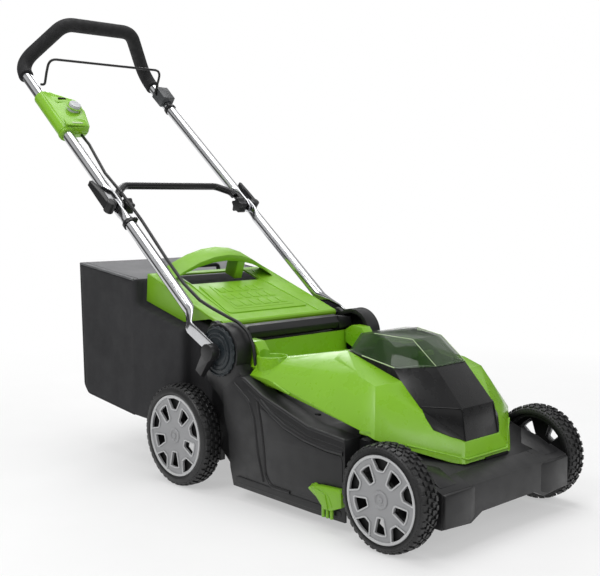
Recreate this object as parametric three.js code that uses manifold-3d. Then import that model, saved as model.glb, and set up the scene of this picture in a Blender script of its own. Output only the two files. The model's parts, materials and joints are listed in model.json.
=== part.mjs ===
// Battery push lawn mower, 41 cm cutting width class.
// Units are millimetres. +X is forward, +Y is the mower's left, +Z is up.
// The pieces are laid out around a point on the ground midway between the axles,
// and the finished group is shifted so that its origin is the bottom centre of its box.

import * as THREE from 'three';
import { mergeVertices } from 'three/addons/utils/BufferGeometryUtils.js';
import { ConvexGeometry } from 'three/addons/geometries/ConvexGeometry.js';
import Module from 'manifold-3d';

const manifold = await Module();
manifold.setup();

// ---------------------------------------------------------------- driving dimensions

const GAP = 0.35;                 // clearance kept between pieces that touch
const SIDES = [['right', -1], ['left', 1]];

const WHEELBASE = 540;
const FRONT_WHEEL = { x: WHEELBASE / 2, radius: 88.4, bead: 72.8 };
const REAR_WHEEL = { x: -WHEELBASE / 2, radius: 100.9, bead: 80.8 };
const TYRE_WIDTH = 45;
const WHEEL_FACE_Y = 236;         // outer plane of the hubcaps
const WHEEL_Y = WHEEL_FACE_Y - TYRE_WIDTH / 2;
const WHEEL_SEGMENTS = 24;
const AXLE_RADIUS = 5.5;
const CRANK = { back: 36, rise: 27 };   // wheel centre measured from the crank pivot
const CRANK_Y = 183.5;

const DECK_HALF = 208;            // flanks beside the blade
const TUB_HALF = 172;             // middle and rear of the deck
const NOSE_HALF = 176;            // between the front wheels
const FLANK_SEAM = 164.5;         // |y| of the joint between the middle of the deck and a flank
const NOSE_SEAM = 168.6;          // x of the joint between the nose and the rest
const CHAMBER = { x: 20, radius: 203.5, roof: 96 };
const SHOULDER = { x: -169, z: 276, radius: 53, inner: 165, outer: 200 };
const HINGE = { x: -215, z: 319, radius: 4 };

const TUBE_RADIUS = 12.5;
const HANDLE_Y = 184;
const HANDLE_SLOPE = THREE.MathUtils.degToRad(39.4);
const HANDLE_REF = { x: -277, z: 343 };   // a point on the handle tube's centre line
const MID_JOINT = { x: -530, z: 551 };
const PIVOT_PLATE = { inner: 200.4, outer: 208, radius: 49 };

const BAG_HALF = 190;
const BAG_NECK_HALF = 159;
const BAG_LOW_HALF = 186;
const CLOTH = 3.5;                // thickness that stands for the bag's cloth

// ---------------------------------------------------------------- materials

const paint = (color, roughness, metalness = 0) =>
  new THREE.MeshStandardMaterial({ color, roughness, metalness });

const LOOKS = {
  green: paint(0x86c21e, 0.35),
  black: paint(0x1c1d1f, 0.5),
  grip: paint(0x222325, 0.9),
  rubber: paint(0x151515, 0.85),
  silver: paint(0xa6a8ab, 0.45, 0.3),
  chrome: paint(0xc9ccd0, 0.15, 1),
  steel: paint(0x8d9094, 0.3, 1),
  fabric: paint(0x3a3b3d, 0.95),
  smoke: paint(0x4c6b2c, 0.1),
  grey: paint(0x5a5d60, 0.5),
};

// ---------------------------------------------------------------- solid helpers

const point = ([x, y, z]) => new THREE.Vector3(x, y, z);

function solidOf(geometry) {
  const bare = geometry.clone();
  bare.deleteAttribute('normal');
  bare.deleteAttribute('uv');
  const merged = mergeVertices(bare, 1e-3);
  return new manifold.Manifold(new manifold.Mesh({
    numProp: 3,
    vertProperties: new Float32Array(merged.attributes.position.array),
    triVerts: new Uint32Array(merged.index.array),
  }));
}

function geometryOf(solid) {
  const mesh = solid.getMesh();
  const geometry = new THREE.BufferGeometry();
  geometry.setAttribute('position', new THREE.BufferAttribute(mesh.vertProperties, 3));
  geometry.setIndex(new THREE.BufferAttribute(mesh.triVerts, 1));
  return geometry;
}

const join = (...solids) => solids.reduce((sum, next) => sum.add(next));
const cut = (body, ...tools) => tools.reduce((rest, tool) => rest.subtract(tool), body);

const hull = (points) => solidOf(new ConvexGeometry(points.map(point)));
const bothSides = (points) => points.flatMap(([x, y, z]) => [[x, y, z], [x, -y, z]]);

function box(low, high) {
  const size = high.map((value, i) => value - low[i]);
  const geometry = new THREE.BoxGeometry(...size);
  geometry.translate(...high.map((value, i) => (value + low[i]) / 2));
  return solidOf(geometry);
}

function outlineShape(outline, holes = []) {
  const shape = new THREE.Shape(outline.map(([a, b]) => new THREE.Vector2(a, b)));
  for (const hole of holes) {
    shape.holes.push(new THREE.Path(hole.map(([a, b]) => new THREE.Vector2(a, b))));
  }
  return shape;
}

// An outline drawn in X and Z, extruded along Y from low to high.
function sidePlate(outline, low, high) {
  const geometry = new THREE.ExtrudeGeometry(outlineShape(outline), {
    depth: high - low, bevelEnabled: false,
  });
  geometry.rotateX(Math.PI / 2);
  geometry.translate(0, high, 0);
  return solidOf(geometry);
}

// An outline drawn in X and Y, extruded along Z from low to high.
function planPlate(outline, low, high, holes = []) {
  const geometry = new THREE.ExtrudeGeometry(outlineShape(outline, holes), {
    depth: high - low, bevelEnabled: false,
  });
  geometry.translate(0, 0, low);
  return solidOf(geometry);
}

function cylinderY(radius, low, high, x, z, segments = 20) {
  const geometry = new THREE.CylinderGeometry(radius, radius, high - low, segments);
  geometry.translate(x, (low + high) / 2, z);
  return solidOf(geometry);
}

function cylinderZ(radius, low, high, x, y, segments = 20) {
  const geometry = new THREE.CylinderGeometry(radius, radius, high - low, segments);
  geometry.rotateX(Math.PI / 2);
  geometry.translate(x, y, (low + high) / 2);
  return solidOf(geometry);
}

// Points of an arc in a plane, angles in degrees.
function arc(cx, cy, radius, from, to, steps) {
  return Array.from({ length: steps + 1 }, (_, i) => {
    const angle = THREE.MathUtils.degToRad(from + ((to - from) * i) / steps);
    return [cx + radius * Math.cos(angle), cy + radius * Math.sin(angle)];
  });
}

// A path of straight runs joined by round bends. Its steps fall only on the run ends
// and round the bends, so a straight run costs one step.
class BentPath extends THREE.Curve {
  constructor(corners, bend, bendSteps) {
    super();
    const at = corners.map(point);
    this.nodes = [at[0]];
    for (let i = 1; i < at.length - 1; i += 1) {
      const before = at[i - 1].clone().sub(at[i]);
      const after = at[i + 1].clone().sub(at[i]);
      const half = before.angleTo(after) / 2;
      const reach = Math.min(bend / Math.tan(half), before.length() * 0.6, after.length() * 0.6);
      const start = at[i].clone().addScaledVector(before.normalize(), reach);
      const end = at[i].clone().addScaledVector(after.normalize(), reach);
      const round = new THREE.QuadraticBezierCurve3(start, at[i], end);
      this.nodes.push(...round.getPoints(bendSteps));
    }
    this.nodes.push(at[at.length - 1]);
  }

  get steps() {
    return this.nodes.length - 1;
  }

  getPoint(t) {
    const place = t * this.steps;
    const index = Math.min(Math.floor(place), this.steps - 1);
    return this.nodes[index].clone().lerp(this.nodes[index + 1], place - index);
  }

  getPointAt(u) {
    return this.getPoint(u);
  }

  getTangentAt(u) {
    const index = Math.round(u * this.steps);
    const before = this.nodes[Math.max(index - 1, 0)];
    const here = this.nodes[index];
    const after = this.nodes[Math.min(index + 1, this.steps)];
    const incoming = here.clone().sub(before).normalize();
    const outgoing = after.clone().sub(here).normalize();
    return incoming.add(outgoing).normalize();
  }
}

function tube(corners, radius, { bend = 30, bendSteps = 4, sides = 10 } = {}) {
  const path = new BentPath(corners, bend, bendSteps);
  const section = outlineShape(arc(0, 0, radius, 0, 360, sides).slice(0, sides));
  return solidOf(new THREE.ExtrudeGeometry(section, {
    steps: path.steps, extrudePath: path, bevelEnabled: false,
  }));
}

function addPiece(group, name, shape, look) {
  const mesh = new THREE.Mesh(shape.isBufferGeometry ? shape : geometryOf(shape), look);
  mesh.name = name;
  group.add(mesh);
  return mesh;
}

const mirrorY = (solid, side) => (side > 0 ? solid : solid.mirror([0, 1, 0]));

// ---------------------------------------------------------------- wheels

function ring(profile, segments) {
  const points = [...profile, profile[0]].map(([radius, y]) => new THREE.Vector2(radius, y));
  return new THREE.LatheGeometry(points, segments, Math.PI / segments);
}

// The tyre is a prism of flat facets. One facet lies on the ground.
function tyreShape({ radius, bead }) {
  const facet = radius / Math.cos(Math.PI / WHEEL_SEGMENTS);
  const half = TYRE_WIDTH / 2;
  return ring([
    [bead, -half + 1], [facet - 10, -half], [facet, -half + 7],
    [facet, half - 7], [facet - 10, half], [bead, half - 1],
  ], WHEEL_SEGMENTS);
}

function spokeWindow(inner, outer, innerHalfAngle, outerHalfAngle, middle) {
  return [
    ...arc(0, 0, inner, middle - innerHalfAngle, middle + innerHalfAngle, 1),
    ...arc(0, 0, outer, middle + outerHalfAngle, middle - outerHalfAngle, 1),
  ];
}

// Inner wheel: barrel, web and axle boss, with five windows behind those of the hubcap.
function hubShape({ bead }) {
  const barrel = bead - GAP;
  const bore = AXLE_RADIUS + 0.5;
  const body = solidOf(ring([
    [bore, -18], [13, -18], [13, 7], [barrel - 5, 7],
    [barrel - 5, -20], [barrel, -20], [barrel, 13], [bore, 13],
  ], WHEEL_SEGMENTS));
  const windows = [0, 1, 2, 3, 4].map((i) => {
    const outline = spokeWindow(bead * 0.42, bead * 0.86, 16, 17, 72 * i + 54);
    return sidePlate(outline, 0, 20);
  });
  return cut(body, ...windows);
}

// Hubcap: a flat disc pierced by five inner and five rim windows in turn.
function hubcapShape({ bead }) {
  const rim = bead - GAP;
  const half = 180 / WHEEL_SEGMENTS;
  const outline = arc(0, 0, rim, half, 360 + half, WHEEL_SEGMENTS).slice(1);
  const holes = [0, 1, 2, 3, 4].flatMap((i) => [
    spokeWindow(bead * 0.42, bead * 0.76, 10, 12, 72 * i + 54),
    spokeWindow(bead * 0.7, bead * 0.92, 9, 14, 72 * i + 90),
  ]);
  const geometry = new THREE.ExtrudeGeometry(outlineShape(outline, holes), {
    depth: 5, bevelEnabled: false,
  });
  geometry.rotateX(Math.PI / 2);
  geometry.translate(0, TYRE_WIDTH / 2, 0);
  return geometry;
}

function addWheel(mower, label, wheel, side) {
  const group = new THREE.Group();
  group.position.set(wheel.x, side * WHEEL_Y, wheel.radius);
  group.rotation.z = side > 0 ? 0 : Math.PI;
  addPiece(group, `tyre_${label}`, tyreShape(wheel), LOOKS.rubber);
  addPiece(group, `wheel_hub_${label}`, hubShape(wheel), LOOKS.black);
  addPiece(group, `hubcap_${label}`, hubcapShape(wheel), LOOKS.silver);
  mower.add(group);
}

// ---------------------------------------------------------------- cutting height

// A cranked rod: a pivot line across the deck and a stub for each wheel.
function crankAxle({ x, radius }) {
  const pivotX = x + CRANK.back;
  const pivotZ = radius - CRANK.rise;
  const half = [
    [x, WHEEL_Y + 12, radius], [x, CRANK_Y, radius],
    [pivotX, CRANK_Y, pivotZ], [pivotX, CRANK_Y - 25, pivotZ],
  ];
  const other = half.map(([px, py, pz]) => [px, -py, pz]).reverse();
  return tube([...half, ...other], AXLE_RADIUS, { bend: 9, bendSteps: 2, sides: 10 });
}

// Lever on the mower's left flank that sets both axles.
const LEVER = { x: -100, z: 130, low: 209, high: 214 };
function heightLever() {
  const { x, z, low, high } = LEVER;
  const blade = sidePlate([
    ...arc(x, z, 13, 200, 380, 6), [x - 16, z + 88], [x - 34, z + 88],
  ], low, high);
  const knob = sidePlate([
    [x - 38, z + 74], [x - 12, z + 74], [x - 14, z + 116], [x - 24, z + 122], [x - 36, z + 116],
  ], high - 1, high + 15);
  return join(blade, knob);
}

// ---------------------------------------------------------------- deck

const RIM = [[168, 162], [79, 171], [-41, 209], [-95, 236]];

// Flank: side panel, wheel-arch edge and the round shoulder that carries the handle.
function flank() {
  const panel = sidePlate([
    [-122, 27], [92, 21], [168, 21], ...RIM, [-110, 236], [-150, 205],
    [-148, 160], [-136, 120], [-131, 60],
  ], TUB_HALF - 5, DECK_HALF);
  const shoulder = sidePlate([
    ...arc(SHOULDER.x, SHOULDER.z, SHOULDER.radius, -25, 205, 14),
    [-205, 214], [-172, 190], [-148, 160], [-134, 110], [-110, 150], [-98, 225],
  ], SHOULDER.inner, SHOULDER.outer);
  const ear = cylinderY(11, SHOULDER.inner, 176, HINGE.x, HINGE.z - 2, 12);
  const earWeb = hull([
    [HINGE.x - 9, 166, HINGE.z - 8], [HINGE.x + 6, 166, HINGE.z + 8], [-180, 166, 310], [-200, 166, 280],
    [HINGE.x - 9, 176, HINGE.z - 8], [HINGE.x + 6, 176, HINGE.z + 8], [-180, 176, 310], [-200, 176, 280],
  ]);
  return join(panel, shoulder, ear, earWeb);
}

function flankPocket() {
  return cylinderY(44, SHOULDER.inner - 2, SHOULDER.outer - 6, SHOULDER.x, SHOULDER.z, 16);
}

// Middle of the deck: chamber block, chute and the seat for the motor cover.
function tub() {
  return sidePlate([
    [-228, 100], [-165, 46], [-122, 27], [240, 21], [240, 145], [204, 156], [79, 167],
    [-41, 205], [-95, 232], [-160, 240], [-205, 262], [-228, 288],
  ], -TUB_HALF, TUB_HALF);
}

// Nose with the stepped bumper: two corner blocks and a recessed middle.
function nose() {
  const body = hull(bothSides([
    [200, NOSE_HALF, 60], [200, NOSE_HALF, 156], [300, NOSE_HALF, 122], [322, NOSE_HALF, 112],
    [322, NOSE_HALF, 52], [240, NOSE_HALF, 40],
  ]));
  const corner = [
    [318, 180, 116], [350, 180, 103], [350, 180, 45], [318, 180, 45],
    [318, 104, 116], [352, 108, 103], [352, 108, 41], [318, 104, 41],
  ];
  const middle = hull(bothSides([
    [316, 110, 116], [347, 76, 100], [352, 108, 103], [347, 76, 54], [352, 108, 41], [316, 110, 41],
    [316, 76, 54],
  ]));
  const recess = hull(bothSides([
    [300, 76, 30], [300, 76, 54], [360, 76, 54], [300, 106, 30], [300, 106, 41], [360, 106, 41],
    [360, 106, 30], [360, 76, 30],
  ]));
  const otherCorner = corner.map(([x, y, z]) => [x, -y, z]);
  return cut(join(body, hull(corner), hull(otherCorner), middle), recess);
}

function deckMoulding() {
  const outer = join(tub(), nose(), flank(), mirrorY(flank(), -1));
  const chamber = cylinderZ(CHAMBER.radius, 0, CHAMBER.roof, CHAMBER.x, 0, 32);
  const pockets = cut(
    box([-112, -203.5, 0], [236, 203.5, CHAMBER.roof]),
    cylinderZ(CHAMBER.radius + 4, -10, 120, CHAMBER.x, 0, 32),
  );
  const upper = sidePlate([
    [-100, 101], [214, 101], [214, 144], [200, 150], [79, 162], [-41, 199], [-88, 224], [-100, 224],
  ], -167, 167);
  const flankHollows = sidePlate([
    [-104, 101], [163, 101], [163, 157], [79, 165], [-41, 203], [-92, 228], [-104, 228],
  ], -203.5, 203.5);
  const chute = sidePlate([
    [-240, 108], [-160, 52], [-60, 34], [-60, 94], [-112, 96], [-118, 182], [-164, 233], [-202, 255],
    [-240, 292],
  ], -155, 155);
  const noseHollow = hull(bothSides([
    [246, 170, 30], [246, 170, 132], [298, 170, 116], [340, 172, 98], [342, 172, 30],
  ]));
  const motorHole = cylinderZ(78, 90, 240, CHAMBER.x, 0, 24);
  const shaftHole = cylinderZ(24, 80, 120, CHAMBER.x, 0, 12);
  const motorSeat = planPlate([[-90, -90], [130, -90], [130, 90], [-90, 90]], 96, 101);
  const axleSlot = cylinderY(AXLE_RADIUS + 0.8, -190, 190,
    FRONT_WHEEL.x + CRANK.back, FRONT_WHEEL.radius - CRANK.rise, 12);
  const bracket = sidePlate([
    [-205, 52], [-252, 52], [-252, 96], [-226, 118], [-200, 118],
  ], 160, TUB_HALF);
  const rearSlot = cylinderY(AXLE_RADIUS + 0.8, -190, 190,
    REAR_WHEEL.x + CRANK.back, REAR_WHEEL.radius - CRANK.rise, 12);
  const hollow = cut(outer, chamber, pockets, upper, flankHollows, chute, noseHollow, motorHole,
    flankPocket(), mirrorY(flankPocket(), -1));
  const seated = cut(join(hollow, motorSeat, bracket, mirrorY(bracket, -1)), shaftHole);
  const hingeHole = cylinderY(HINGE.radius + GAP, -190, 190, HINGE.x, HINGE.z, 12);
  return cut(seated, axleSlot, rearSlot, hingeHole);
}

// The deck is four mouldings that meet at the seams, with a gap of GAP between them.
function deckPieces() {
  const whole = deckMoulding();
  const far = 1000;
  const edge = GAP / 2;
  const nose = whole.intersect(box([NOSE_SEAM + edge, -far, -far], [far, far, far]));
  const rest = whole.intersect(box([-far, -far, -far], [NOSE_SEAM - edge, far, far]));
  const middle = rest.intersect(box([-far, -FLANK_SEAM + edge, -far], [far, FLANK_SEAM - edge, far]));
  const right = rest.intersect(box([-far, -far, -far], [far, -FLANK_SEAM - edge, far]));
  const left = rest.intersect(box([-far, FLANK_SEAM + edge, -far], [far, far, far]));
  return { middle, nose, right, left };
}

function pivotPlate() {
  const { inner, outer, radius } = PIVOT_PLATE;
  const teeth = 20;
  const outline = Array.from({ length: teeth * 2 }, (_, i) => {
    const reach = i % 2 === 0 ? radius : radius - 2.5;
    const angle = (Math.PI * i) / teeth;
    return [SHOULDER.x + reach * Math.cos(angle), SHOULDER.z + reach * Math.sin(angle)];
  });
  const disc = sidePlate(outline, inner, outer - 3);
  const hub = cylinderY(radius - 12, outer - 4, outer, SHOULDER.x, SHOULDER.z, 20);
  const stud = cylinderY(5, outer - 4, 225.6, SHOULDER.x, SHOULDER.z, 12);
  return join(disc, hub, stud);
}

// Green comb that guides grass, just behind each front wheel.
function grassComb() {
  const arm = hull([
    [90, 208.4, 74], [100, 208.4, 78], [136, 208.4, 70], [144, 208.4, 42], [130, 208.4, 38],
    [92, 216, 70], [104, 222, 74], [134, 222, 64], [140, 222, 42], [132, 222, 40],
  ]);
  const teeth = [124, 134, 144].map((x) => cylinderZ(3.2, 24, 44, x, 215, 8));
  return join(arm, ...teeth);
}

function motorHousing() {
  const { x } = CHAMBER;
  const profile = [[0, 101.5], [52, 101.5], [52, 142], [44, 150], [0, 150]];
  const points = profile.map(([radius, z]) => new THREE.Vector2(radius, z));
  const geometry = new THREE.LatheGeometry(points, 20);
  geometry.rotateX(Math.PI / 2);
  geometry.translate(x, 0, 0);
  const body = solidOf(geometry);
  const shaftBore = cylinderZ(9.5, 90, 130, x, 0, 12);
  return cut(body, shaftBore);
}

// ---------------------------------------------------------------- motor cover and battery

const BATTERY = { low: [80, -44, 196], high: [172, 44, 300] };

const CUP = { x: -75.2, y: 148.6, radius: 30 };   // open cups beside the hand recess

const shroudPoints = bothSides([
  [62, 88, 290], [107, 90, 266], [189, 90, 249], [232, 90, 211], [286, 44, 209],
  [295, 47, 155], [250, 84, 166], [227, 42, 273], [171, 86, 267], [75, 86, 287],
  [62, 88, 205], [232, 84, 176], [290, 46, 152],
]);

function coverPoints() {
  const rear = bothSides([
    [-110, 186, 238], [-44, 190, 236], [182, 190, 180], [-110, 160, 262], [-42, 150, 266],
    [145, 150, 261], [184, 150, 248], [62, 90, 290],
  ]);
  const front = bothSides([
    [182, 190, 180], [218, 190, 169], [145, 150, 261], [184, 150, 248], [231, 150, 187],
    [246, 150, 164], [189, 90, 250], [252, 87, 164], [297, 50, 153],
    [306, 60, 128], [309, 66, 118], [62, 90, 290], [230, 100, 160],
  ]);
  return { rear, front };
}

const middleOf = (points) => points.reduce(
  (sum, p) => sum.map((v, i) => v + p[i] / points.length), [0, 0, 0]);

function grow(points, amount) {
  const middle = middleOf(points);
  return points.map((p) => p.map((v, i) => v + Math.sign(v - middle[i]) * amount));
}

// The space under a moulded shell: its outline shrunk about its middle and dropped
// through the floor.
const SHELL_SHRINK = 0.945;
function hollowBelow(points) {
  const middle = middleOf(points);
  const inset = points.map((p) => p.map((v, i) => middle[i] + (v - middle[i]) * SHELL_SHRINK));
  return hull([...inset, ...inset.map(([x, y, z]) => [x, y, z - 25])]);
}

function motorCover() {
  const { rear, front } = coverPoints();
  const body = join(hull(rear), hull(front));
  const cheeks = SIDES.map(([, side]) => hull([136, 162].flatMap((y) => [
    [-158, side * y, 262], [-158, side * y, 288], [-140, side * y, 298], [-112, side * y, 296],
    [-92, side * y, 270], [-92, side * y, 244], [-120, side * y, 244],
  ])));
  const cups = SIDES.map(([, side]) => cylinderZ(CUP.radius, 214, 271, CUP.x, side * CUP.y, 16));
  const handPocket = hull(bothSides([
    [-200, 134, 264], [30, 84, 262], [-200, 134, 330], [56, 84, 330], [-20, 108, 248],
    [-150, 134, 252],
  ]));
  const cupHollows = SIDES.map(([, side]) => (
    cylinderZ(CUP.radius - 4, 250, 320, CUP.x, side * CUP.y, 16)));
  const inner = join(hollowBelow(rear), hollowBelow(front));
  const seat = hull(grow(shroudPoints, GAP));
  const recessFloor = box([-162, -142, 240], [-60, 142, 245]);
  const recessWall = box([-165.5, -142, 241], [-161, 142, 286]);
  const whole = cut(join(cut(body, inner), ...cheeks, ...cups), handPocket, ...cupHollows, seat);
  const deckTop = sidePlate([
    [-240, 20], [300, 20], [325, 116], [300, 124], [240, 147], [204, 160], [168, 162.4], [79, 171.4],
    [-41, 209.4], [-95, 236.4], [-112, 238], [-160, 241], [-206, 264], [-240, 300],
  ], -240, 240);
  const shoulders = SIDES.map(([, side]) => mirrorY(join(
    cylinderY(SHOULDER.radius + 1.5, SHOULDER.inner - GAP, 240, SHOULDER.x, SHOULDER.z, 28),
    box([-170, SHOULDER.inner - GAP, 180], [-96, 240, 250]),
  ), side));
  return cut(join(whole, recessFloor, recessWall), deckTop, ...shoulders);
}

function frontShroud() {
  const body = cut(hull(shroudPoints), hollowBelow(shroudPoints));
  const tray = box([64, -64, 190], [190, 64, 268]);
  const shelf = box([186, -36, 250], [214, 36, 256]);
  const bay = box([74, -60, 194], [186, 60, 330]);
  const mouth = hull([256.2, 330].flatMap((z) => bothSides([
    [80, 82, z], [80, 70, z], [168, 80, z], [216, 36, z],
  ])));
  return cut(join(body, cut(tray, mouth), shelf), bay, mouth);
}

function batteryCover() {
  const rim = [[228, 42, 274], [172, 87, 269.5], [96, 90, 284], [64, 86, 290]];
  const top = [[70, 62, 320], [100, 62, 322], [174, 41, 316]];
  const outer = hull(bothSides([...top, ...rim]));
  const inset = bothSides([...top, ...rim].map(([x, y, z]) => [x - Math.sign(x - 140) * 3, y - 3, z - 3]));
  const inner = hull([...inset, ...inset.map(([x, y, z]) => [x, y, z - 25])]);
  return cut(outer, inner, hull(grow(shroudPoints, GAP)));
}

function batteryPack() {
  const { low, high } = BATTERY;
  const lower = box(low, [high[0], high[1], 280]);
  const top = hull(bothSides([
    [84, 44, 279], [170, 44, 279], [92, 40, 308], [146, 30, 304], [168, 36, 290],
  ]));
  const thumb = box([164, -20, 282], [180, 20, 310]);
  return cut(join(lower, top), thumb);
}

function releaseButton() {
  return hull(bothSides([
    [167.6, 18, 283], [167.6, 18, 292], [176, 18, 283], [174, 18, 290],
  ]));
}

function carryBar() {
  const grip = sidePlate([
    [-199, 296], [-196, 312], [-186, 319], [-174, 316], [-167, 304], [-170, 292], [-184, 287], [-195, 289],
  ], -128, 128);
  const caps = SIDES.map(([, side]) => hull([
    [-200, side * 126, 294], [-196, side * 126, 318], [-168, side * 126, 316], [-166, side * 126, 290],
    [-196, side * 164, 296], [-194, side * 164, 312], [-170, side * 164, 312], [-166, side * 164, 294],
  ]));
  return join(grip, ...caps);
}

// ---------------------------------------------------------------- blade

// Shaft with the blade's seat as a flange at its foot, bored for the blade bolt.
function motorShaft() {
  const flange = cylinderZ(26, 47, 58, CHAMBER.x, 0, 16);
  const neck = cylinderZ(13, 54, 68, CHAMBER.x, 0, 16);
  const shaft = cylinderZ(9, 62, 128, CHAMBER.x, 0, 12);
  return cut(join(flange, neck, shaft), cylinderZ(8.6, 40, 62.5, CHAMBER.x, 0, 12));
}

function bladeBar() {
  const { x } = CHAMBER;
  const [bar, other] = [1, -1].map((side) => planPlate([
    [x - side * 24, -side * 60], [x + side * 24, -side * 60], [x + side * 24, side * 160],
    [x + side * 20, side * 196], [x - side * 24, side * 196], [x - side * 26, side * 60],
  ], 41, 45));
  const lifts = [1, -1].map((side) => hull([
    [x - side * 24, side * 120, 41], [x - side * 24, side * 120, 45], [x - side * 24, side * 194, 45],
    [x - side * 24, side * 194, 41], [x - side * 40, side * 130, 60], [x - side * 40, side * 190, 60],
    [x - side * 38, side * 190, 62], [x - side * 38, side * 130, 62],
  ]));
  return cut(join(bar, other, ...lifts), cylinderZ(6, 30, 60, x, 0, 12));
}

function bladeBolt() {
  const { x } = CHAMBER;
  return join(cylinderZ(12, 32, 40.6, x, 0, 6), cylinderZ(5.6, 40, 61.5, x, 0, 12));
}

// ---------------------------------------------------------------- handle

const slope = { x: -Math.cos(HANDLE_SLOPE), z: Math.sin(HANDLE_SLOPE) };
const normal = { x: Math.sin(HANDLE_SLOPE), z: Math.cos(HANDLE_SLOPE) };

// A place measured from a point: along the handle tube, across at y, and off its upper side.
function onHandle(ref, along, y, off) {
  return [
    ref.x + along * slope.x + off * normal.x, y, ref.z + along * slope.z + off * normal.z,
  ];
}

const onTube = (along, y, off) => onHandle(HANDLE_REF, along, y, off);
const MID_ALONG = (HANDLE_REF.x - MID_JOINT.x) / Math.cos(HANDLE_SLOPE);

// A flat strip along the tube, pierced by the joint's bolt.
function strap(fromAlong, toAlong, low, high, half) {
  return hull([low, high].flatMap((y) => [
    onTube(fromAlong, y, -half), onTube(fromAlong, y, half),
    onTube(toAlong, y, -half), onTube(toAlong, y, half),
  ]));
}

function lowerTube() {
  const round = tube([onTube(2, HANDLE_Y, 0), onTube(MID_ALONG - 40, HANDLE_Y, 0)], TUBE_RADIUS, { sides: 10 });
  const bore = tube([onTube(12, HANDLE_Y, 0), onTube(MID_ALONG - 48, HANDLE_Y, 0)], TUBE_RADIUS - 1.8, { sides: 8 });
  const drain = tube([onTube(20, HANDLE_Y, 0), onTube(20, HANDLE_Y, -30)], 2, { sides: 6 });
  const crank = hull([
    onTube(6, 180, -10), onTube(6, 180, 10), onTube(6, 190, -12), onTube(6, 190, 12),
    onTube(-40, 208.6, -15), onTube(-40, 208.6, 9), onTube(-40, 213.4, -15), onTube(-40, 213.4, 9),
  ]);
  const end = hull([
    onTube(-38, 208.6, -15), onTube(-38, 208.6, 9), onTube(-38, 213.4, -15), onTube(-38, 213.4, 9),
    ...arc(SHOULDER.x, SHOULDER.z, 14, -150, 30, 6).flatMap(([x, z]) => [[x, 208.6, z], [x, 213.4, z]]),
  ]);
  const upperEnd = join(
    hull([
      onTube(MID_ALONG - 44, 173, -9), onTube(MID_ALONG - 44, 173, 9),
      onTube(MID_ALONG - 44, 195, -9), onTube(MID_ALONG - 44, 195, 9),
      onTube(MID_ALONG - 19, 184.7, -13.4), onTube(MID_ALONG - 19, 184.7, 13.4),
      onTube(MID_ALONG - 19, 190.5, -13.4), onTube(MID_ALONG - 19, 190.5, 13.4),
    ]),
    strap(MID_ALONG - 22, MID_ALONG + 18, 184.2, 191, 14),
  );
  const bolt = cylinderY(4.4, 160, 220, MID_JOINT.x, MID_JOINT.z, 10);
  const pivotBolt = cylinderY(5.4, 200, 230, SHOULDER.x, SHOULDER.z, 12);
  return cut(join(round, crank, end, upperEnd), bore, drain, bolt, pivotBolt);
}

// Corners of the grip loop above the straight tube, and how it bends.
const LOOP_ALONG = 862;
const LOOP = [onTube(LOOP_ALONG, HANDLE_Y, 0), [-877, 96, 991]];
const LOOP_BENDS = { bend: 52, bendSteps: 3, sides: 10 };

function upperTube() {
  const loop = [onTube(MID_ALONG + 60, HANDLE_Y, 0), ...LOOP];
  const other = loop.map(([x, y, z]) => [x, -y, z]).reverse();
  const round = tube([...loop, ...other], TUBE_RADIUS, LOOP_BENDS);
  const ends = SIDES.map(([, side]) => mirrorY(cut(join(
    hull([
      onTube(MID_ALONG + 64, 173, -9), onTube(MID_ALONG + 64, 173, 9),
      onTube(MID_ALONG + 64, 195, -9), onTube(MID_ALONG + 64, 195, 9),
      onTube(MID_ALONG + 39, 177.5, -13.4), onTube(MID_ALONG + 39, 177.5, 13.4),
      onTube(MID_ALONG + 39, 183.3, -13.4), onTube(MID_ALONG + 39, 183.3, 13.4),
    ]),
    strap(MID_ALONG - 16, MID_ALONG + 42, 177, 183.8, 14),
  ), cylinderY(4.4, 160, 220, MID_JOINT.x, MID_JOINT.z, 10)), side));
  const bores = SIDES.map(([, side]) => mirrorY(
    tube([onTube(MID_ALONG + 68, HANDLE_Y, 0), onTube(MID_ALONG + 470, HANDLE_Y, 0)], TUBE_RADIUS - 1.8,
      { sides: 8 }), side));
  const drains = SIDES.map(([, side]) => mirrorY(
    tube([onTube(MID_ALONG + 76, HANDLE_Y, 0), onTube(MID_ALONG + 76, HANDLE_Y, -30)], 2, { sides: 6 }), side));
  return cut(join(round, ...ends), ...bores, ...drains);
}

// Foam sleeve on the grip loop. Its bore is the tube's own path, a little wider.
function foamGrip() {
  const run = (start, radius) => {
    const half = [start, ...LOOP];
    const other = half.map(([x, y, z]) => [x, -y, z]).reverse();
    return tube([...half, ...other], radius, LOOP_BENDS);
  };
  const sleeve = run(onTube(LOOP_ALONG - 44, HANDLE_Y, 0), 17.5);
  return cut(sleeve, run(onTube(LOOP_ALONG - 90, HANDLE_Y, 0), TUBE_RADIUS + GAP));
}

function crossbar() {
  const half = [
    onTube(MID_ALONG + 32, 163, 3), onTube(MID_ALONG + 44, 160, 5), [-584, 130, 596],
  ];
  const other = half.map(([x, y, z]) => [x, -y, z]).reverse();
  const bar = tube([...half, ...other], 8, { bend: 24, bendSteps: 2, sides: 8 });
  const tabs = SIDES.map(([, side]) => mirrorY(cut(
    hull([
      ...arc(MID_JOINT.x, MID_JOINT.z, 11, -130, 50, 3).flatMap(([x, z]) => [[x, 171.8, z], [x, 176.6, z]]),
      onTube(MID_ALONG + 38, 168, -5), onTube(MID_ALONG + 38, 168, 10),
      onTube(MID_ALONG + 36, 176.6, -5), onTube(MID_ALONG + 36, 176.6, 10),
      onTube(MID_ALONG + 22, 171.8, -9), onTube(MID_ALONG + 22, 171.8, 12),
    ]),
    cylinderY(4.4, 150, 220, MID_JOINT.x, MID_JOINT.z, 10)), side));
  return join(bar, ...tabs);
}

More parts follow.
